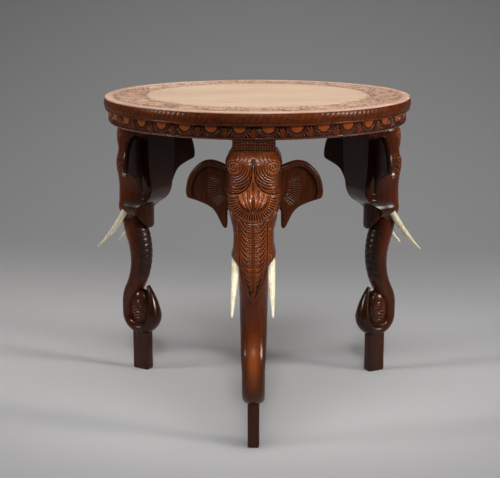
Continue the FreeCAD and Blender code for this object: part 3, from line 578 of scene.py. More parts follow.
def makeTopBoard(plan):
    step = 360 / plan.tiles
    angles = np.linspace(0, step, plan.columns + 1)
    z, lip, under, inner = plan.z, plan.lip, plan.under, plan.inner
    border = np.arange(plan.ringIn - plan.margin, plan.ringOut + plan.margin, plan.rowStep)
    top = [(r, z) for r in np.r_[plan.fieldRows, border, plan.filletRows]]
    edge = [(lip + out, z - down) for out, down in plan.edgeRound]
    edge += [(lip, z - plan.skin), (inner, z - plan.skin), (inner, under)]
    profile = np.array(top + edge + [(r, under) for r in plan.underRows])
    radius, turn = np.meshgrid(profile[:, 0], np.radians(angles), indexing="ij")
    spots = np.stack([radius * np.cos(turn), radius * np.sin(turn)], -1).reshape(-1, 2)
    radius = radius.reshape(-1)
    stem, volutes, buds, leaves, lines = borderShapes(plan)
    gap = strokeGap(spots, stem, plan.vine[1])
    for heart in volutes:
        gap = np.minimum(gap, np.linalg.norm(spots - heart, axis=1) - plan.volute[0])
    high, wide, _ = plan.lotus
    for heart, out, along in buds:
        away = spots - heart
        gap = np.minimum(gap, (np.hypot(away @ out / high, away @ along / wide) - 1) * high)
    leafGap = np.min([strokeGap(spots, line, half) for line, half in leaves], axis=0)
    soft, (lift, slope) = plan.soft, plan.wall
    inside = above(radius, plan.ringIn, soft) * above(plan.ringOut, radius, soft)
    ground = plan.sink * smoothStep((gap + lift) / slope)
    leafGround = plan.leafSink + plan.sink * smoothStep((leafGap + lift) / slope)
    ground = np.minimum(ground, leafGround) * inside
    engraved = cutDepth(spots, lines) * inside
    *edge, deep = plan.ringCut
    for ring in (plan.ringIn - plan.ringsOff, plan.ringOut + plan.ringsOff):
        engraved = np.maximum(engraved, deep * covered(np.abs(radius - ring), *edge))
    outline = bell(np.minimum(gap, leafGap), *plan.outline) * inside
    mark = np.maximum(plan.groundMark * ground / plan.sink, plan.outlineMark * outline)
    mark = np.maximum(mark, plan.lineMark * engraved)
    onTop = (np.arange(len(profile)) < len(top))[:, None]
    cut = np.maximum(ground, engraved).reshape(len(profile), -1) * onTop
    mark = np.clip(mark.reshape(len(profile), -1) * onTop, 0, 1)
    tile = polarTile("topTile", profile, angles, np.stack([0 * cut, -cut], -1), mark)
    mesh = repeatTile("carvedTop", tile, plan.tiles, step, 0, topWood)
    addPiece("carvedTop", mesh, topWood, "top_board", angle=60)


makeTopBoard(topPlan)
print("top board carved")


rimPlan = Plan(
    radius=279.9, bead=278, inner=262.4, lip=3.0, beadHeight=4.0, backRise=8,
    gadroons=176, columns=10, bulgeRows=17, depth=0.8, lean=0.95, ends=1.8, sharp=0.4,
    # radius, and height above the gadroons, above their lower end, above the underside
    start=((268, 0.5), (277.4, 0.5), (277.9, 0.1)), beadTop=((277.2, -0.4), (278.0, -1.1), (278.0, -2.6)),
    beadFoot=((277.5, 0.4), (276.8, 0)),
    grooveMark=0.7, chipFrom=0.12, chipMark=0.6, plainMark=0.08,
)


def makeRim(plan, top):
    step = 360 / plan.gadroons
    angles = np.linspace(0, step, plan.columns + 1)
    under = top.under
    low, high = under + plan.beadHeight, top.z - plan.lip
    middle, half = (low + high) / 2, (high - low) / 2
    rise = plan.radius - plan.bead
    levels = np.linspace(half, -half, plan.bulgeRows)
    bulge = [(plan.bead + rise * (1 - (z / half) ** 2), middle + z) for z in levels]
    bases = {"start": high, "beadTop": low, "beadFoot": under}
    start, bead, foot = ([(r, base + z) for r, z in plan[key]] for key, base in bases.items())
    back = [(plan.inner, under), (plan.inner, under + plan.backRise), start[0]]
    profile = np.array(start + bulge + bead + foot + back)
    height = profile[:, 1][:, None]
    first, last = len(start), len(start) + len(bulge)
    onBulge = np.zeros((len(profile), 1))
    onBulge[first:last, 0] = 1
    phase = angles[None, :] / step - plan.lean * (height - low) / (high - low)
    onBulge = onBulge * above(height, low, plan.ends) * above(high, height, plan.ends)
    chip = (1 - np.abs(np.sin(np.pi * phase)) ** plan.sharp) * onBulge
    mark = np.where(chip > plan.chipFrom, plan.chipMark * chip, plan.plainMark * onBulge)
    mark[[first, last]] += plan.grooveMark
    tile = polarTile("rimTile", profile, angles, np.stack([-plan.depth * chip, 0 * chip], -1), mark)
    mesh = repeatTile("gadroonEdge", tile, plan.gadroons, step, 0, rimWood)
    addPiece("gadroonEdge", mesh, rimWood, "top_board", angle=50)


makeRim(rimPlan, topPlan)
print("edge gadrooned")


apronPlan = Plan(
    radius=272, inner=205, low=526.2, high=550.2, round=6, roundRows=9, rows=26,
    underRows=(245, 225), topRow=240, arris=1, perSegment=6, columns=78,
    segments=dict(front=-90, front_right=-30, right=30, back=90, left=150, front_left=210),
    ground=1.6, topLine=1.2, lowLine=3.2, dome=12.4, ringHigh=1.5,
    # leaf fans between the bosses: lean, half width, height
    leaves=((0, 1.9, 19.5), (4.2, 1.5, 17.0), (-4.2, 1.5, 17.0), (8.6, 1.3, 11.5), (-8.6, 1.3, 11.5)),
    leafHigh=1.45, veinDeep=0.9, teeth=(-146, -129, -112, -68, -51, -34), toothReach=(18.9, 21.4),
    toothHalf=0.8, toothHigh=1.3, cutFrom=0.25, paleMark=-0.25, bossMark=0.9, bossEdge=0.8, bossFade=2,
    leafFoot=(0.12, 0.5), leafBend=(0.55, 0.45), leafPeak=0.6, veinHalf=0.15,
    # edges: where, and how soft
    rings=((15.0, 1.3), (17.6, 1.15)), ringSoft=0.9, leafEdge=(0.45, 0.8), veinEdge=(0.4, 0.7),
    toothEdge=(0.4, 0.8), lineEdge=(0.9, 0.8), lowEdge=(0.4, 0.8), topEdge=(0.2, 0.5),
)


def lunetteField(spots, length, plan):
    # half-round bosses hanging from the top line, rings round them, leaf fans between; returns depth and mark, the
    # bosses painted paler as a highlight
    top, low, ground = plan.high - plan.topLine, plan.low + plan.lowLine, plan.ground
    heart = np.array([length / 2, top])
    cut = np.full(len(spots), ground)
    radius = np.hypot(*(spots - heart).T)
    boss = radius < plan.dome
    cut[boss] = ground * (1 - np.sqrt(np.clip(1 - (radius[boss] / plan.dome) ** 2, 0, 1)))
    for ring, edge in plan.rings:
        cut = np.minimum(cut, ground - plan.ringHigh * covered(np.abs(radius - ring), edge, plan.ringSoft))
    foot, footUp = plan.leafFoot
    bend, bendUp = plan.leafBend
    for x in (0, length):
        for lean, size, tall in plan.leaves:
            leaf = [(x + lean * foot, low + footUp), (x + lean * bend, low + tall * bendUp), (x + lean, low + tall)]
            leaf = curveThrough(leaf, 10)
            gap = strokeGap(spots, leaf, taper(10, size, plan.leafPeak))
            cut = np.minimum(cut, ground - plan.leafHigh * covered(gap, *plan.leafEdge))
            vein = strokeGap(spots, leaf[2:-2], plan.veinHalf)
            cut = np.maximum(cut, plan.veinDeep * covered(vein, *plan.veinEdge))
    for turn in plan.teeth:
        tooth = np.stack([heart + polarSpot(reach, turn) for reach in plan.toothReach])
        gap = strokeGap(spots, tooth, plan.toothHalf)
        cut = np.minimum(cut, ground - plan.toothHigh * covered(gap, *plan.toothEdge))
    up = spots[:, 1]
    cut *= covered(low - up, *plan.lowEdge) * covered(up - top, *plan.topEdge)
    cut = np.maximum(cut, covered(np.abs(up - low), *plan.lineEdge))
    # the bosses are painted paler, a painted highlight
    rubbed = boss * covered(radius, plan.dome - plan.bossEdge, plan.bossFade) * (up < top)
    mark = np.where(cut > plan.cutFrom, np.clip(cut / ground, 0, 1), plan.paleMark)
    return cut, mark * (1 - rubbed) - plan.bossMark * rubbed


def makeApron(plan):
    step = 60 / plan.perSegment
    angles = np.linspace(0, step, plan.columns + 1)
    turns = np.linspace(0, math.pi / 2, plan.roundRows)[1:]
    low, high, radius, inner, bend = (plan[key] for key in ("low", "high", "radius", "inner", "round"))
    outer = [(radius, z) for z in np.linspace(high, low + bend, plan.rows)]
    corner = [(radius - bend * (1 - math.cos(t)), low + bend * (1 - math.sin(t))) for t in turns]
    inside = [(r, low) for r in (*plan.underRows, inner + plan.arris)]
    inside += [(inner, low + plan.arris), (inner, high), (plan.topRow, high), (radius, high)]
    profile = np.array(outer + corner + inside)
    down = high - lengthAlong(profile)
    spots = np.stack(np.meshgrid(np.radians(angles) * radius, down), -1).reshape(-1, 2)
    made = lunetteField(spots, math.radians(step) * radius, plan)
    cut, mark = (field.reshape(len(profile), -1) for field in made)
    facing = np.zeros((len(profile), 1, 2))
    facing[1:len(outer), 0, 0] = -1
    for i, t in enumerate(turns[:-1]):
        facing[len(outer) + i, 0] = (-math.cos(t), math.sin(t))
    mark = mark * (np.abs(facing).sum(-1) > 0)
    tile = polarTile("apronTile", profile, angles, cut[..., None] * facing, mark)
    for where, turn in plan.segments.items():
        mesh = repeatTile("apronCarved_" + where, tile, plan.perSegment, step, turn - 30, apronWood)
        addPiece("apronCarved_" + where, mesh, apronWood, "apron_" + where, angle=50)


makeApron(apronPlan)
print("apron carved")


legPlan = Plan(
    radius=271, turns=dict(front=-90, right=30, left=150), foot=(36, 20, 74.08),
    curl=29.5, curlHalf=(13, 19), tipRadius=130, tipRise=61, tipHalf=(2.5, 4),
    drop=16, bend=60, bendHalf=(16.5, 21.2), waist=130, waistHalf=(21.5, 23.2), waistIn=1,
    rise=115.87, lean=19, rootHalf=(24, 24), mouthBelow=29, shoulderBack=9, cheekCorner=0.76,
    dome=(32, 36, 5.4, 9.6, 22), domeBlend=6, backSmooth=8, frontArc=135,
    jaw=(27, 8, 25, 42, 23), neck=(50, 3, 35.6, 18), neckCorner=1.5,
    hatch=4.3, hatchDeep=0.9, hatchEdge=(0.62, 0.3), hatchTop=0.4, hatchMarks=(0.25, 0.85, -0.55),
    rowStep=0.95, rootStep=1.0, curlStep=2.2, joinRows=10, columns=(15, 128, 16),
)
headLevels = (  # rise above the level below, back, half width, front
    (0, 10, 27, 37), (15.5, 10, 36.5, 39), (7, 29, 35, 38.5), (12, 45, 33.5, 38), (17, 54, 33, 37.5),
    (27, 54, 38.5, 38), (23.5, 54, 42.5, 40.5), (26, 54, 44, 34.5), (32, 54, 45, 36), (17, 54, 43.5, 30),
    (8.5, 54, 38, 17),
)


def legLevels(plan):
    curlZ = plan.foot[2] + plan.curlHalf[0] + plan.curl
    bendZ = curlZ + plan.drop
    bendTurn = math.acos(1 - (plan.curl + plan.waistIn) / (plan.waist + plan.bend))
    waistZ = bendZ + (plan.waist + plan.bend) * math.sin(bendTurn)
    mouthZ = waistZ + plan.rise
    heads = mouthZ - plan.mouthBelow + np.cumsum([level[0] for level in headLevels])
    return Plan(curl=curlZ, bend=bendZ, bendTurn=bendTurn, waist=waistZ, mouth=mouthZ, heads=heads)


def ringColumns(plan):
    # places round a section: 0 to 8 over the front, 8 to 10 over the back
    side, front, back = plan.columns
    parts = [np.linspace(0, 2, side, endpoint=False), np.linspace(2, 6, front, endpoint=False)]
    return np.concatenate(parts + [np.linspace(6, 8, side + 1), np.linspace(8, 10, back + 2)[1:-1]])


def headRings(plan, levels):
    knots = levels.heads
    rows = np.r_[np.arange(knots[0], knots[-1], plan.rowStep), knots[-1]]
    half, front = (throughPoints(knots, [level[i] for level in headLevels], rows)[:, 0] for i in (2, 3))
    back = np.interp(rows, knots, [level[1] for level in headLevels])
    reach, window = plan.backSmooth, 2 * plan.backSmooth + 1
    back = np.convolve(np.pad(back, reach, "edge"), np.ones(window) / window, "valid")
    shoulder, corner = front - half + plan.shoulderBack, plan.cheekCorner
    sides = [(-back, half), ((shoulder - back) / 2, half), (shoulder, half)]
    sides.append((shoulder + corner * (front - shoulder), corner * half))
    control = [np.stack([x, -y, rows], -1) for x, y in sides]
    control.append(np.stack([front, 0 * front, rows], -1))
    control += [np.stack([x, y, rows], -1) for x, y in reversed(sides)]
    columns = ringColumns(plan)
    ahead = columns[columns <= 8]
    rings = throughPoints(np.arange(9), np.stack(control), ahead).reshape(len(ahead), len(rows), 3)
    rear = [np.stack([-back, half * (9 - place), rows], -1) for place in columns[columns > 8]]
    rings = np.concatenate([rings, np.stack(rear)]).transpose(1, 0, 2)[::-1]
    # the forehead's two domes stand out of the block
    wide, tall, forward, apart, lift = plan.dome
    x, y, z = (rings[..., i] for i in range(3))
    inside = 1 - ((np.abs(y) - apart) / wide) ** 2 - ((z - knots[7] - lift) / tall) ** 2
    dome = forward + wide * np.sqrt(np.clip(inside, 0, 1))
    meet = np.clip(1 - np.abs(x - dome) / plan.domeBlend, 0, 1) ** 2 * plan.domeBlend / 4
    rings[..., 0] = np.where((inside > 0) & (x > 0), np.maximum(x, dome) + meet, x)
    return rings


def trunkRings(plan, levels):
    # the trunk's path: root, waist, outward bend, curl, tip
    rootTurn = 2 * math.atan(plan.lean / plan.rise)
    waist, bend, curl, tip = (plan[key] for key in ("waist", "bend", "curl", "tipRadius"))
    rootRadius = plan.rise / math.sin(rootTurn) - waist
    tipTurn = math.asin(plan.tipRise / tip)
    bendTurn = levels.bendTurn
    rootAt = (plan.lean - plan.waistIn - rootRadius, levels.mouth)
    waistAt = (waist - plan.waistIn, levels.waist)
    bendAt, curlAt, tipAt = (curl - bend, levels.bend), (0, levels.curl), (tip - curl, levels.curl)
    arcs = (  # centre, radius, start, end, which side is the trunk's front, sections at the ends, row step
        (rootAt, rootRadius, -rootTurn / 2, -rootTurn, 1, "rootHalf", "rootHalf", "rootStep"),
        (waistAt, waist, math.pi - rootTurn, math.pi, -1, "rootHalf", "waistHalf", "rootStep"),
        (waistAt, waist, math.pi, math.pi + bendTurn, -1, "waistHalf", "bendHalf", "rootStep"),
        (bendAt, bend, bendTurn, 0, 1, "bendHalf", "curlHalf", "curlStep"),
        (curlAt, curl, 0, -math.pi, 1, "curlHalf", "curlHalf", "curlStep"),
        (tipAt, tip, math.pi, math.pi - tipTurn, 1, "curlHalf", "tipHalf", "curlStep"),
    )
    columns = ringColumns(plan)
    corner = math.radians(plan.frontArc)
    angle = np.where(columns <= 8, corner * (columns / 4 - 1), corner + (math.pi - corner) * (columns - 8))
    rings = []
    for centre, radius, start, end, side, first, last, step in arcs:
        steps = max(4, int(abs(end - start) * radius / plan[step]))
        for share in np.linspace(0, 1, steps, endpoint=False):
            turn = start + (end - start) * share
            thick, width = np.array(plan[first]) * (1 - share) + np.array(plan[last]) * share
            out = radius + thick * np.cos(angle) * side
            x, z = centre[0] + out * math.cos(turn), centre[1] + out * math.sin(turn)
            rings.append(np.stack([x, width * np.sin(angle), z], -1))
    return np.stack(rings)


facePlan = Plan(  # half of the face in (across, up), the other half is its mirror
    volute=(32.5, 487), voluteEdge=(13, 4), spiral=(10.8, 1.2, 200, -2.2, 60), spiralCut=(0.6, 0.4, 1.5),
    domeArcs=(14.5, 45, 4.3), arcFrom=(176, -2), arcTo=(292, -3), arcCut=(0.85, 1.5),
    domeInner=2.6, domeMiddle=3.5, domeCut=(0.75, 1.9), domeLine=(0.35, 1.0),
    domeEdge=((1.4, 500), (2, 486), (3.2, 470), (7.5, 457.5), (15, 449.5), (25, 444.5), (36, 443), (43.5, 443)),
    lashes=(8, 15, 22), palm=(0, 440.5), palmReach=23.4, palmSwell=4.4, palmTop=(453, 30), palmSplit=(1.6, 2.2),
    palmGap=2, stemHalf=2.4,
    bands=((24.4, 0.6, 1.4), (27.2, 0.4, 0.9), (42.2, 0.4, 0.9), (45.2, 0.7, 1.6)),
    bandTurns=(-90, -2, 30), rays=(-87, -4, 6.6), rayReach=(30, 39.4), rayCut=((0.6, 1.15), 1.7),
    vanes=(391, 270, -8.2), nicks=(388, 336, -7), panelCut=(0.6, 1.4), panelLine=(0.3, 0.8),
    panel=((23.6, 398), (23.4, 366), (23, 340), (19.8, 309.5), (11.5, 285), (0.2, 264.5)), panelInner=(-2.4, 1.0),
    # brow, petal veins and midrib; palmette; cheek and wrinkles in (forward, up); rows as strokes takes them
    lines=(
        (((5, 503.5), (12, 507), (22, 507.5), (33, 504)), 16, 0.45, 0.7), (((5.8, 437), (5.9, 449)), 0, 0.3, 0.9),
        (((12.2, 436), (14.2, 444)), 0, 0.3, 0.9), (((17, 432), (20.4, 438)), 0, 0.3, 0.9),
        (((1.3, 395), (1.4, 340), (0.9, 276)), 0, 0.4, 1.2)),
    slits=(
        (((1.6, 462), (1.8, 440), (1.4, 420)), 0, 0.3, 1.2), (((3.0, 419), (8.2, 434), (9.2, 450)), 12, 0.35, 1.7),
        (((5.5, 419), (13, 430), (17.5, 443.5)), 12, 0.35, 1.7), (((8, 420), (16.5, 425), (23, 435)), 12, 0.35, 1.7)),
    slitSoft=1.9,
    sideLines=(
        (((-3, 401), (-16, 396), (-27, 384), (-31, 368), (-28, 352)), 20, (0.9, 0.35), 1.4),
        (((-2, 414), (4, 417), (10, 416)), 8, 0.4, 0.9), (((-2, 419), (4, 422), (10, 421)), 8, 0.4, 0.9)),
    eye=(8, 407.3), lid=(8.6, 5.8), lidCut=(0.5, 1.2),
    ridge=((-15, 507), (-6, 494), (1, 474), (5, 450), (8, 428), (10, 415)), ridgeHalf=0.3, ridgeEdge=(1.6, 1.6),
)


def faceStrokes(plan):
    # fine lines, rounded slits and the domes' lower edge
    domeEdge, side = curveThrough(plan.domeEdge, 36), curveThrough(plan.panel, 30)
    lines = [(domeEdge, *plan.domeCut), (domeEdge + plan.domeInner, *plan.domeLine)]
    lines += [(side, *plan.panelCut), (side + plan.panelInner, *plan.panelLine)]
    lines.append(thinning(spiralLine(plan.volute, *plan.spiral), *plan.spiralCut))
    (start, startStep), (end, endStep), (half, deep) = plan.arcFrom, plan.arcTo, plan.arcCut
    for i, radius in enumerate(np.arange(*plan.domeArcs)):
        arc = arcLine(plan.volute, radius, start + startStep * i, end + endStep * i, 22)
        over = arc[:, 1] > np.interp(arc[:, 0], *domeEdge.T) + plan.domeInner
        arc = arc[over & (arc[:, 0] > plan.domeMiddle)]
        if len(arc) > 3:
            lines.append((arc, taper(len(arc), half), deep))
    # band of rays round the palmette
    lines += [(arcLine(plan.palm, radius, *plan.bandTurns), *cut) for radius, *cut in plan.bands]
    for turn in np.arange(*plan.rays):
        lines.append(([plan.palm + polarSpot(reach, turn) for reach in plan.rayReach], *plan.rayCut))
    # lashes, feathers of the leaf panel, nicks beside it
    rows = [(((x, 505), (x + 3, 498), (x + 8, 493)), 8, (0.6, 0.5), 1.1) for x in plan.lashes]
    for z in np.arange(*plan.vanes):
        wide = np.interp(z + 7, side[::-1, 1], side[::-1, 0]) - 3.4
        if wide > 2.6:
            vane = (2.0, z - 3.5), (wide * 0.38, z - 3.2), (wide * 0.78, z + 2.6), (wide, z + 11.5)
            barb = (2.4, z + 0.6), (wide * 0.42, z + 1.6), (wide * 0.72, z + 7.5)
            rows += [(vane, 16, (1.0, 0.45), 1.5), (barb, 10, (0.5, 0.4), 0.9)]
    rows += [(((26, z - 3), (29, z - 1), (31.5, z + 5)), 8, (0.6, 0.4), 0.8) for z in np.arange(*plan.nicks)]
    return lines + strokes((*plan.lines, *rows)), strokes(plan.slits), domeEdge


def sideStrokes(plan):
    turn = np.linspace(0, 2 * np.pi, 30)
    lid = np.array(plan.eye) + np.array(plan.lid) * np.c_[np.cos(turn), np.sin(turn)]
    return [(lid, *plan.lidCut)] + strokes(plan.sideLines)


def ringNormals(rings):
    around = np.roll(rings, -1, axis=1) - np.roll(rings, 1, axis=1)
    normal = np.cross(around, np.gradient(rings, axis=0))
    normal /= np.linalg.norm(normal, axis=-1, keepdims=True) + 1e-9
    return normal * np.sign((normal * (rings - rings.mean(1, keepdims=True))).sum(-1).mean())


legWearAndPaintedLight = Plan(  # shares of dirt and painted shade above 0, of abraded wood and painted highlights below
    petal=-0.9, stem=-0.3, volute=-0.7, fold=(0.45, 0.3), sides=0.34, rubbed=0.75, lip=0.6,
    foldFrom=186, foldTo=308, foldFade=14, foldGap=11.8, foldSlant=0.22, foldSharp=2.5, foldDeep=0.7,
    panelEnd=262, panelFade=30, rubbedAt=158, rubbedReach=36, lipReach=10,
    # where across the leg each lies, and over how much it fades
    facing=(0.80, 5), flank=(0.90, 0.06), voluteFrom=(0.5, 0.4), innerSide=(-0.15, 0.5),
    rubbedHalf=(0.66, 0.55), sidesFrom=(0.45, 0.5), lipFrom=(0.6, 0.3),
    petalCut=0.5, petalFrom=0.5, voluteCut=0.4, trace=0.05,
)


def carveLeg(rings, levels, plan, wearAndLight):
    # chisel the face, the sides of the head and the trunk's folds along the surface normals; the marks carry dirt,
    # abraded edges, painted shade and painted highlights
    ahead, up, shape = rings[..., 0], rings[..., 2], rings.shape[:2]
    across = np.abs(rings[..., 1])
    normal = ringNormals(rings)
    half = across.max(1, keepdims=True)
    middle = across / half
    face, sides = (np.stack([flat, up], -1).reshape(-1, 2) for flat in (across, ahead))
    lines, slits, domeEdge = faceStrokes(plan)
    share, soft = wearAndLight.facing
    facing = above(ahead, ahead.max(1, keepdims=True) - share * half, soft) * (ahead > 0)
    cut = np.maximum(cutDepth(face, lines), cutDepth(face, slits, plan.slitSoft)).reshape(shape) * facing
    flank = above(middle, *wearAndLight.flank) * (up > levels.heads[0])
    cut = np.maximum(cut, cutDepth(sides, sideStrokes(plan)).reshape(shape) * flank)
    ridge = strokeGap(sides, curveThrough(plan.ridge, 24), plan.ridgeHalf)
    ridge = covered(ridge, *plan.ridgeEdge).reshape(shape) * flank
    marks = wornMarks(cut)
    # the palmette's petals and the volutes get painted highlights
    petals = np.hypot(*(face - plan.palm).T) < plan.palmReach
    petals = (petals & (face[:, 1] < np.interp(face[:, 0], *domeEdge.T) - plan.palmGap)).reshape(shape)
    palmetteHighlight = np.where(across < plan.stemHalf, wearAndLight.stem, wearAndLight.petal)
    marks = np.where(petals & (cut < wearAndLight.petalCut) & (facing > wearAndLight.petalFrom), palmetteHighlight, marks)
    volutes = covered(np.hypot(*(face - plan.volute).T), *plan.voluteEdge).reshape(shape)
    volutes = volutes * above(facing, *wearAndLight.voluteFrom)
    marks = np.where(cut < wearAndLight.voluteCut, np.minimum(marks, wearAndLight.volute * volutes), marks)
    # folds across the trunk's inner side; that side is painted darker as shade, with dirt in the folds
    fade = above(up, wearAndLight.foldFrom, wearAndLight.foldFade) * above(wearAndLight.foldTo, up, wearAndLight.foldFade)
    inner = covered(normal[..., 0], *wearAndLight.innerSide) * fade
    wave = np.cos(2 * np.pi * (up + wearAndLight.foldSlant * ahead) / wearAndLight.foldGap)
    fold = (0.5 + 0.5 * wave) ** wearAndLight.foldSharp * inner
    innerShade, foldMark = wearAndLight.fold
    marks = np.where(inner > wearAndLight.trace, innerShade * inner + foldMark * fold, marks)
    # a painted highlight along the middle of the trunk's bend, painted shade on its sides and on the cheeks' lower
    # edges
    trunkFront = above(wearAndLight.panelEnd, up, wearAndLight.panelFade) * (normal[..., 0] > 0)
    rubbed = bell(up, wearAndLight.rubbedAt, wearAndLight.rubbedReach) * covered(middle, *wearAndLight.rubbedHalf)
    trunkShadeAndHighlight = wearAndLight.sides * above(middle, *wearAndLight.sidesFrom) - wearAndLight.rubbed * rubbed
    marks = np.where(trunkFront > 0, trunkFront * trunkShadeAndHighlight, marks)
    # the cheeks' lower edges get painted shade and are duller
    lip = bell(up, levels.heads[2], wearAndLight.lipReach) * above(middle, *wearAndLight.lipFrom) * (1 - facing)
    marks = np.maximum(marks, wearAndLight.lip * lip - (lip < wearAndLight.trace))
    swell = plan.palmSwell * petals * covered(up, *plan.palmTop)
    swell = swell * above(across, *plan.palmSplit) * facing
    return rings + normal * (ridge + swell - cut - wearAndLight.foldDeep * fold)[..., None], marks


def eggRings(half, steps, around, flat=1):
    # rings of an ellipsoid, its sides flattened by a power under 1
    up = np.linspace(-math.pi / 2, math.pi / 2, steps)[1:-1, None]
    turn = np.linspace(0, 2 * math.pi, around, endpoint=False)
    wide = np.abs(np.sin(turn)) ** flat * np.sign(np.sin(turn))
    x, y, z = half[0] * np.cos(up) * np.cos(turn), half[1] * np.cos(up) ** flat * wide, half[2] * np.sin(up)
    return np.stack(np.broadcast_arrays(x, y, z), -1)


budPlan = Plan(
    half=(23.5, 17, 36), lift=14, flat=0.6, steps=(84, 120), soft=0.8,
    scroll=((-4, 9), 9.5, 1.6, 250, 1.7, 40), scrollCut=(0.8, 0.5, 1.6),
    leaves=(-30, 6.6, 5), leaf=((-15, 1), (-4, 3.4), (7, 2.6), (16, -1.5)), curls=(0, 6, 12),
)


def budShell(plan, levels):
    # carved bud that fills the trunk's curl: a small scroll over a row of leaves
    rings = eggRings(plan.half, *plan.steps, plan.flat)
    cuts = [thinning(spiralLine(*plan.scroll), *plan.scrollCut)]
    first, gap, count = plan.leaves
    rows = [([(x, first + gap * i + z) for x, z in plan.leaf], 14, (1.15, 0.55), 1.7) for i in range(count)]
    rows += [(((7 + up * 0.4, 2 + up), (11, 9 + up), (8, 20 + up)), 10, (0.8, 0.5), 1.3) for up in plan.curls]
    cut = cutDepth(rings[..., [0, 2]].reshape(-1, 2), cuts + strokes(rows), plan.soft).reshape(rings.shape[:2])
    rings[..., 1] *= 1 - cut / plan.half[1]
    return tubeShell(rings + [0, 0, levels.curl + plan.lift], wornMarks(cut, 2))


def boxRing(length, width, corner, steps=5):
    # rounded rectangle, anticlockwise
    points = []
    for k, side in enumerate(((1, 1), (-1, 1), (-1, -1), (1, -1))):
        middle = np.array(side) * (length / 2 - corner, width / 2 - corner)
        points.append(arcLine(middle, corner, 90 * k, 90 * k + 90, steps))
    return np.concatenate(points)


def evenRing(ring, count):
    closed = np.r_[ring, ring[:1]]
    reach = lengthAlong(closed)
    spots = np.linspace(0, reach[-1], count, endpoint=False)
    return np.stack([np.interp(spots, reach, closed[:, i]) for i in range(2)], -1), spots, reach[-1]


def footShell(plan, corner=2.2):
    # sawn stub with eased lower edges: height, inset
    length, width, tall = plan.foot
    rings = []
    for z, inset in ((0, 2.2), (0.5, 1.2), (2.0, 0.3), (5, 0), (30, 0.2), (60, 0), (tall + 10, 0)):
        ring = boxRing(length - 2 * inset, width - 2 * inset, corner)
        rings.append(np.c_[ring, np.full(len(ring), z)])
    return tubeShell(np.stack(rings))


def jawShell(plan, levels, around=72):
    # hanging lower lip: a rounded nose in plan, cut off on a slant below
    back, front, half, drop, bend = plan.jaw
    heads = levels.heads
    throat, jowl, tip = heads[3], heads[2], heads[1] - drop
    turn = np.linspace(0, math.pi / 2, 14)
    nose = np.c_[bend - back - bend * np.sin(turn), bend - half - bend * np.cos(turn)]
    nose = np.r_[[(front, -half)], nose, nose[::-1] * [1, -1], [(front, half)]]
    outline = evenRing(nose, around)[0]
    middle = np.array([(front - back) / 2, 0])
    slant = tip + (outline[:, 0] + back) * ((jowl - tip) / (front + back))
    rings = []
    for inset, lift in ((0.12, 0), (0.045, 0.4), (0.01, 1.4), (0, 3), (0, 10)):
        rings.append(np.c_[outline + (middle - outline) * inset, slant + lift])
    rings.append(np.c_[outline, np.full(around, throat)])
    return tubeShell(np.stack(rings))


def neckShell(plan, levels, around=240, rowCount=34):
    # hatched block under the apron: two sets of saw cuts leave rows of little squares
    back, front, half, tall = plan.neck
    base, top = levels.heads[-2], levels.heads[-1] + tall
    ring, spots, whole = evenRing(boxRing(back - front, 2 * half, plan.neckCorner), around)
    rows = np.linspace(base, top, rowCount)
    upright = spots / whole * round(whole / plan.hatch)
    level = (top - rows) / plan.hatch
    upright, level = (above(np.abs(wave % 1 - 0.5) * 2, *plan.hatchEdge) for wave in (upright, level))
    saw = np.maximum(upright[None, :], level[:, None]) * (rows < top - plan.hatchTop)[:, None]
    away = ring / np.linalg.norm(ring, axis=1, keepdims=True)
    flat = ring[None] - away[None] * (plan.hatchDeep * saw)[..., None]
    rings = np.concatenate([flat, np.broadcast_to(rows[:, None, None], flat.shape[:2] + (1,))], -1)
    sawn, dirt, pale = plan.hatchMarks
    return tubeShell(rings + [-(back + front) / 2, 0, 0], np.where(saw > sawn, dirt * saw, pale))


def makeLegs(plan):
    levels = legLevels(plan)
    head, trunk = headRings(plan, levels), trunkRings(plan, levels)
    shares = smoothStep(np.linspace(0, 1, plan.joinRows)[1:-1])[:, None, None]
    rings = np.concatenate([head, head[-1] * (1 - shares) + trunk[0] * shares, trunk])
    shells = [tubeShell(*carveLeg(rings, levels, facePlan, legWearAndPaintedLight)), budShell(budPlan, levels)]
    shells += [footShell(plan), jawShell(plan, levels), neckShell(plan, levels)]
    for where, turn in plan.turns.items():
        addShells("legCarved_" + where, inWorld(shells, turn), legWood, "leg_" + where, angle=48)
    return levels


legHeights = makeLegs(legPlan)
print("legs carved")


def headSides():
    for where, turn in legPlan.turns.items():
        for side, sign in (("r", 1), ("l", -1)):
            yield f"{where}_{side}", turn, sign


earPlan = Plan(
    reach=76.5, rise=64, drop=52, thick=12, edgeRound=4.2, sweep=14, setBack=33, across=41,
    rim=11, rimEnd=8, rimDrop=45, dish=(4, -1, 3), roll=(1.2, 0.45, 4.0), groove=(1.1, 0.8, 1.0),
    plainEdge=(2, 3), shares=(0.8, 0.25, 0.15),
    fan=(-6, 20), fanReach=(25, 42), fanTurns=(22, -50), fanStrokes=13, fanCut=((0.45, 0.85), 1.5),
    edge=(
        (0, 0.85), (0.2, 0.945), (0.4, 1), (0.6, 0.955), (0.78, 0.79), (0.92, 0.56), (0.985, 0.3), (1, 0.1),
        (0.97, -0.02), (0.88, -0.08), (0.6, -0.21), (0.41, -0.355), (0.295, -0.56), (0.19, -0.86), (0.13, -0.985),
        (0.085, -0.985)),
    # where the root and then the lobe's inner side lie across from the points of the edge: point, x, z
    inner=(
        (0, -0.052, 0.77), (9, -0.052, -0.04), (11, -0.052, -0.19), (12, 0.05, -0.42), (13, 0.053, -0.78),
        (14, 0.06, -0.91), (15, 0.069, -0.95)),
    lobeFrom=11, innerEdge=0.4, backDirt=0.45, steps=(220, 86, 24), crowd=1.6,
)


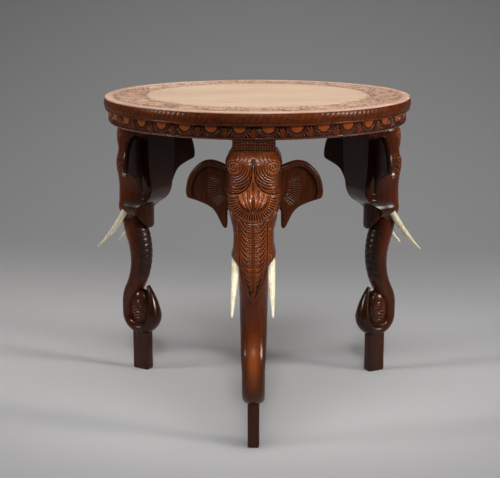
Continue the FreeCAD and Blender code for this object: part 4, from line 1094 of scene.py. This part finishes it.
def earSide(plan, line, inner, outline, steps):
    # points from the ear's inner side to its edge, how far each lies from the outline, and half the thickness there
    inwards = 1 - np.linspace(1, 0, steps) ** plan.crowd
    grid = inner[None] + (line - inner)[None] * inwards[:, None, None]
    toEdge = strokeGap(grid.reshape(-1, 2), outline, 0, 200).reshape(grid.shape[:2])
    toEdge[-1] = 0
    bend = 1 - np.clip(toEdge / plan.edgeRound, 0, 1)
    body = plan.thick / 2 * np.sqrt(np.clip(1 - bend ** 2, 0, 1))
    body[0] = np.maximum(body[0], plan.innerEdge)
    return grid, toEdge, body


def earShell(plan):
    def sized(spots):
        return np.array([(plan.reach * x, z * (plan.rise if z > 0 else plan.drop)) for x, z in spots])

    edge, knots = sized(plan.edge), np.array(plan.inner)
    around, across, behind = plan.steps
    places = np.linspace(0, len(edge) - 1, around + 1)
    line = throughPoints(np.arange(len(edge)), edge, places)
    inner = sized(np.stack([np.interp(places, knots[:, 0], knots[:, i]) for i in (1, 2)], -1))
    outline = np.r_[line, inner[places >= plan.lobeFrom][::-1]]
    grid, toEdge, body = earSide(plan, line, inner, outline, across)
    spots = grid.reshape(-1, 2)
    # the rolled rim runs along the top and the tip, and off over the lower edge
    rim, rimLine = plan.rim, line[places < plan.rimEnd]
    rimLine = np.r_[rimLine, rimLine[-1:] - [[0, plan.rimDrop]]]
    toRim = strokeGap(spots, rimLine, 0, 200).reshape(grid.shape[:2])
    deep, off, soft = plan.dish
    dish = deep * above(toRim, rim + off, soft)
    high, place, width = plan.roll
    roll = high * bell(toRim, rim * place, width)
    fan = []
    for turn in np.linspace(*plan.fanTurns, plan.fanStrokes):
        fan.append(([plan.fan + polarSpot(reach, turn) for reach in plan.fanReach], *plan.fanCut))
    deep, off, width = plan.groove
    cut = np.maximum(cutDepth(spots, fan).reshape(grid.shape[:2]), deep * bell(toRim, rim + off, width))
    cut = cut * above(toEdge, *plan.plainEdge)
    # neither the dish nor the roll nor the cuts take more than a share of the board
    mostDish, mostRoll, least = (share * body for share in plan.shares)
    front = np.maximum(body - np.minimum(dish, mostDish) + np.minimum(roll, mostRoll) - cut, least)
    back, _, backBody = earSide(plan, line, inner, outline, behind)
    front = np.stack([grid[..., 0], -front, grid[..., 1]], -1).transpose(1, 0, 2)
    back = np.stack([back[..., 0], backBody, back[..., 1]], -1).transpose(1, 0, 2)[:, ::-1][:, 1:]
    # the back faces are duller and get painted shade
    marks = np.concatenate([wornMarks(cut, 2).T, np.full(back.shape[:2], plan.backDirt)], 1)
    return tubeShell(np.concatenate([front, back], 1), marks)


def makeEars(plan, levels):
    verts, faces, marks = earShell(plan)
    for where, turn, sign in headSides():
        root = (-plan.setBack, sign * plan.across, levels.heads[6])
        shape = placed(verts * [sign, 1, 1], root, spin(90 + sign * plan.sweep))
        shells = inWorld([(shape, faces, marks)], turn)
        addShells("earCarved_" + where, shells, earWoodPaintedShade, "ear_" + where, angle=50)


makeEars(earPlan, legHeights)
print("ears carved")


tuskPlan = Plan(
    length=100, root=6.5, tip=1.6, bend=16, thinning=1.6, pitch=58, splay=3.5,
    spread=29.5, forward=18, aboveLip=4, inside=-0.06, rows=34, around=28,
    tipRows=(0.985, 0.993, 0.998), tipRound=(0.92, 0.72, 0.36), wobble=((0.02, 54, 1), (0.015, 20, 3)),
)
eyePlan = Plan(
    forward=8, above=6, half=(5, 3.6, 3), sink=1.2, turn=12, steps=(18, 28),
    pupil=(1.8, 1.8, 1.0), pupilSink=0.6, pupilSteps=(10, 18),
)


def tuskShell(plan):
    start, *rest = plan.tipRows
    share = np.r_[plan.inside, np.linspace(0, start, plan.rows), rest]
    bend = math.radians(plan.bend)
    radius = plan.length / bend
    turn = bend * share[:, None]
    size = plan.tip + (plan.root - plan.tip) * (1 - np.clip(share, 0, 1) ** plan.thinning)
    size[-3:] = size[-4] * np.array(plan.tipRound)
    around = np.linspace(0, 2 * math.pi, plan.around, endpoint=False)
    # hand-filed, so not quite round
    wobble = sum(high * np.sin(along * share[:, None] + times * around) for high, along, times in plan.wobble)
    thick = size[:, None] * (1 + wobble)
    x = radius * np.sin(turn) - thick * np.sin(turn) * np.cos(around)
    z = radius * (1 - np.cos(turn)) + thick * np.cos(turn) * np.cos(around)
    return tubeShell(np.stack([x, thick * np.sin(around), z], -1))


def makeFaces(tusks, eyes, heads):
    tuskVerts, *tuskRest = tuskShell(tusks)
    eyeVerts, *eyeRest = tubeShell(eggRings(eyes.half, *eyes.steps))
    pupilVerts, *pupilRest = tubeShell(eggRings(eyes.pupil, *eyes.pupilSteps))
    pupilVerts = pupilVerts + [0, 0, eyes.half[2] - eyes.pupilSink]
    lower, upper = headLevels[5], headLevels[6]
    eyeHalf = lower[2] + (upper[2] - lower[2]) * eyes.above / upper[0]
    pupils = []
    for where, turn, sign in headSides():
        lay = spin(sign * tusks.splay) @ spin(tusks.pitch, "Y")
        root = (tusks.forward, sign * tusks.spread, heads[0] + tusks.aboveLip)
        shells = inWorld([(placed(tuskVerts, root, lay), *tuskRest)], turn)
        addShells("boneTusk_" + where, shells, boneFinish, "tusk_" + where, angle=60)
        stand = spin(-sign * eyes.turn) @ spin(-90 * sign, "X")
        seat = (eyes.forward, sign * (eyeHalf - eyes.sink), heads[5] + eyes.above)
        shells = inWorld([(placed(eyeVerts, seat, stand), *eyeRest)], turn)
        addShells("boneEye_" + where, shells, boneFinish, "eye_" + where, angle=60)
        pupils += inWorld([(placed(pupilVerts, seat, stand), *pupilRest)], turn)
    addShells("darkPupils", pupils, pupilFinish, "eye_pupils", angle=60)


makeFaces(tuskPlan, eyePlan, legHeights.heads)
for nodeName, finish in (("tenon_pegs", legWood), ("apron_splines", legWood), ("apron_screws", steelFinish)):
    setFinish(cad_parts[nodeName].data, finish)
print("tusks, eyes and fastenings finished")


stagePlan = Plan(
    half=8.0, front=-6.0, back=2.6, bend=1.4, bendSteps=24, tall=3.2, fadeTo=1.5, rough=0.75,
    colours=((0.59, 0.583, 0.586), (0.113, 0.111, 0.112)),
)


def makeStage(plan):
    # floor that bends up into the wall, painted darker with height as shade
    start, bend = plan.back - plan.bend, plan.bend
    turns = np.linspace(0, math.pi / 2, plan.bendSteps)
    line = [(plan.front, 0)] + [(start + bend * math.sin(t), bend * (1 - math.cos(t))) for t in turns]
    line.append((plan.back, plan.tall))
    verts = [(x, y, z) for y, z in line for x in (-plan.half, plan.half)]
    faces = [(2 * i, 2 * i + 1, 2 * i + 3, 2 * i + 2) for i in range(len(line) - 1)]
    mesh = bpy.data.meshes.new("sweep")
    mesh.from_pydata(verts, [], faces)
    mesh.shade_smooth()
    finish, tree, shader = newFinish("paleSweep")
    height = spread(tree, heightOf(tree), 0, plan.fadeTo, 0, 1)
    feed(tree, shader, {"Base Color": ramp(tree, height, (0, 1), plan.colours), "Roughness": plan.rough})
    setFinish(mesh, finish)
    addObject("sweep", mesh)


def addLamp(name, place, aim, size, power, colour, spreadAngle):
    light = bpy.data.lights.new(name, "AREA")
    light.shape = "RECTANGLE"
    light.size, light.size_y = size
    light.energy = power
    light.color = colour
    light.spread = math.radians(spreadAngle)
    lamp = addObject(name, light)
    lamp.location = place
    lamp.rotation_euler = (Vector(aim) - Vector(place)).to_track_quat("-Z", "Y").to_euler()


white, warm = (1, 1, 1), (1.0, 0.95, 0.89)
lamps = (  # name, place, aim, size, power, colour, spread
    ("key", (0.1, -0.75, 2.5), (0, -0.1, 0.4), (1.3, 1.0), 38, white, 180),
    ("accent", (0.05, -2.2, 1.95), (0, -0.3, 0.32), (0.7, 0.3), 0.39, white, 12),
    ("sideRight", (2.2, -0.7, 1.2), (0.28, 0.0, 0.54), (0.9, 0.9), 2.2, warm, 20),
    ("sideLeft", (-2.2, -0.5, 1.3), (-0.3, 0.05, 0.5), (0.9, 0.9), 1.1, white, 20),
    ("backdrop", (0, 1.1, 2.6), (0, 2.4, 0.5), (1.6, 0.5), 4.5, white, 130),
)
makeStage(stagePlan)
for row in lamps:
    addLamp(*row)
worldGlow = 0.04
world = bpy.data.worlds.new("studio")
world.use_nodes = True
feed(world.node_tree, world.node_tree.nodes["Background"], {"Color": (*white, 1), "Strength": worldGlow})
scene.world = world

cameraPlan = Plan(sensor=36, lens=89.54, place=(0.0470, -2.2803, 0.8152), pitch=77.30, turn=1.515)
camera = bpy.data.cameras.new("view")
camera.sensor_width = cameraPlan.sensor
camera.lens = cameraPlan.lens
cameraObject = addObject("view", camera)
cameraObject.location = cameraPlan.place
cameraObject.rotation_euler = (math.radians(cameraPlan.pitch), 0, math.radians(cameraPlan.turn))
scene.camera = cameraObject
scene.view_settings.view_transform = "Standard"
print("stage and camera set")
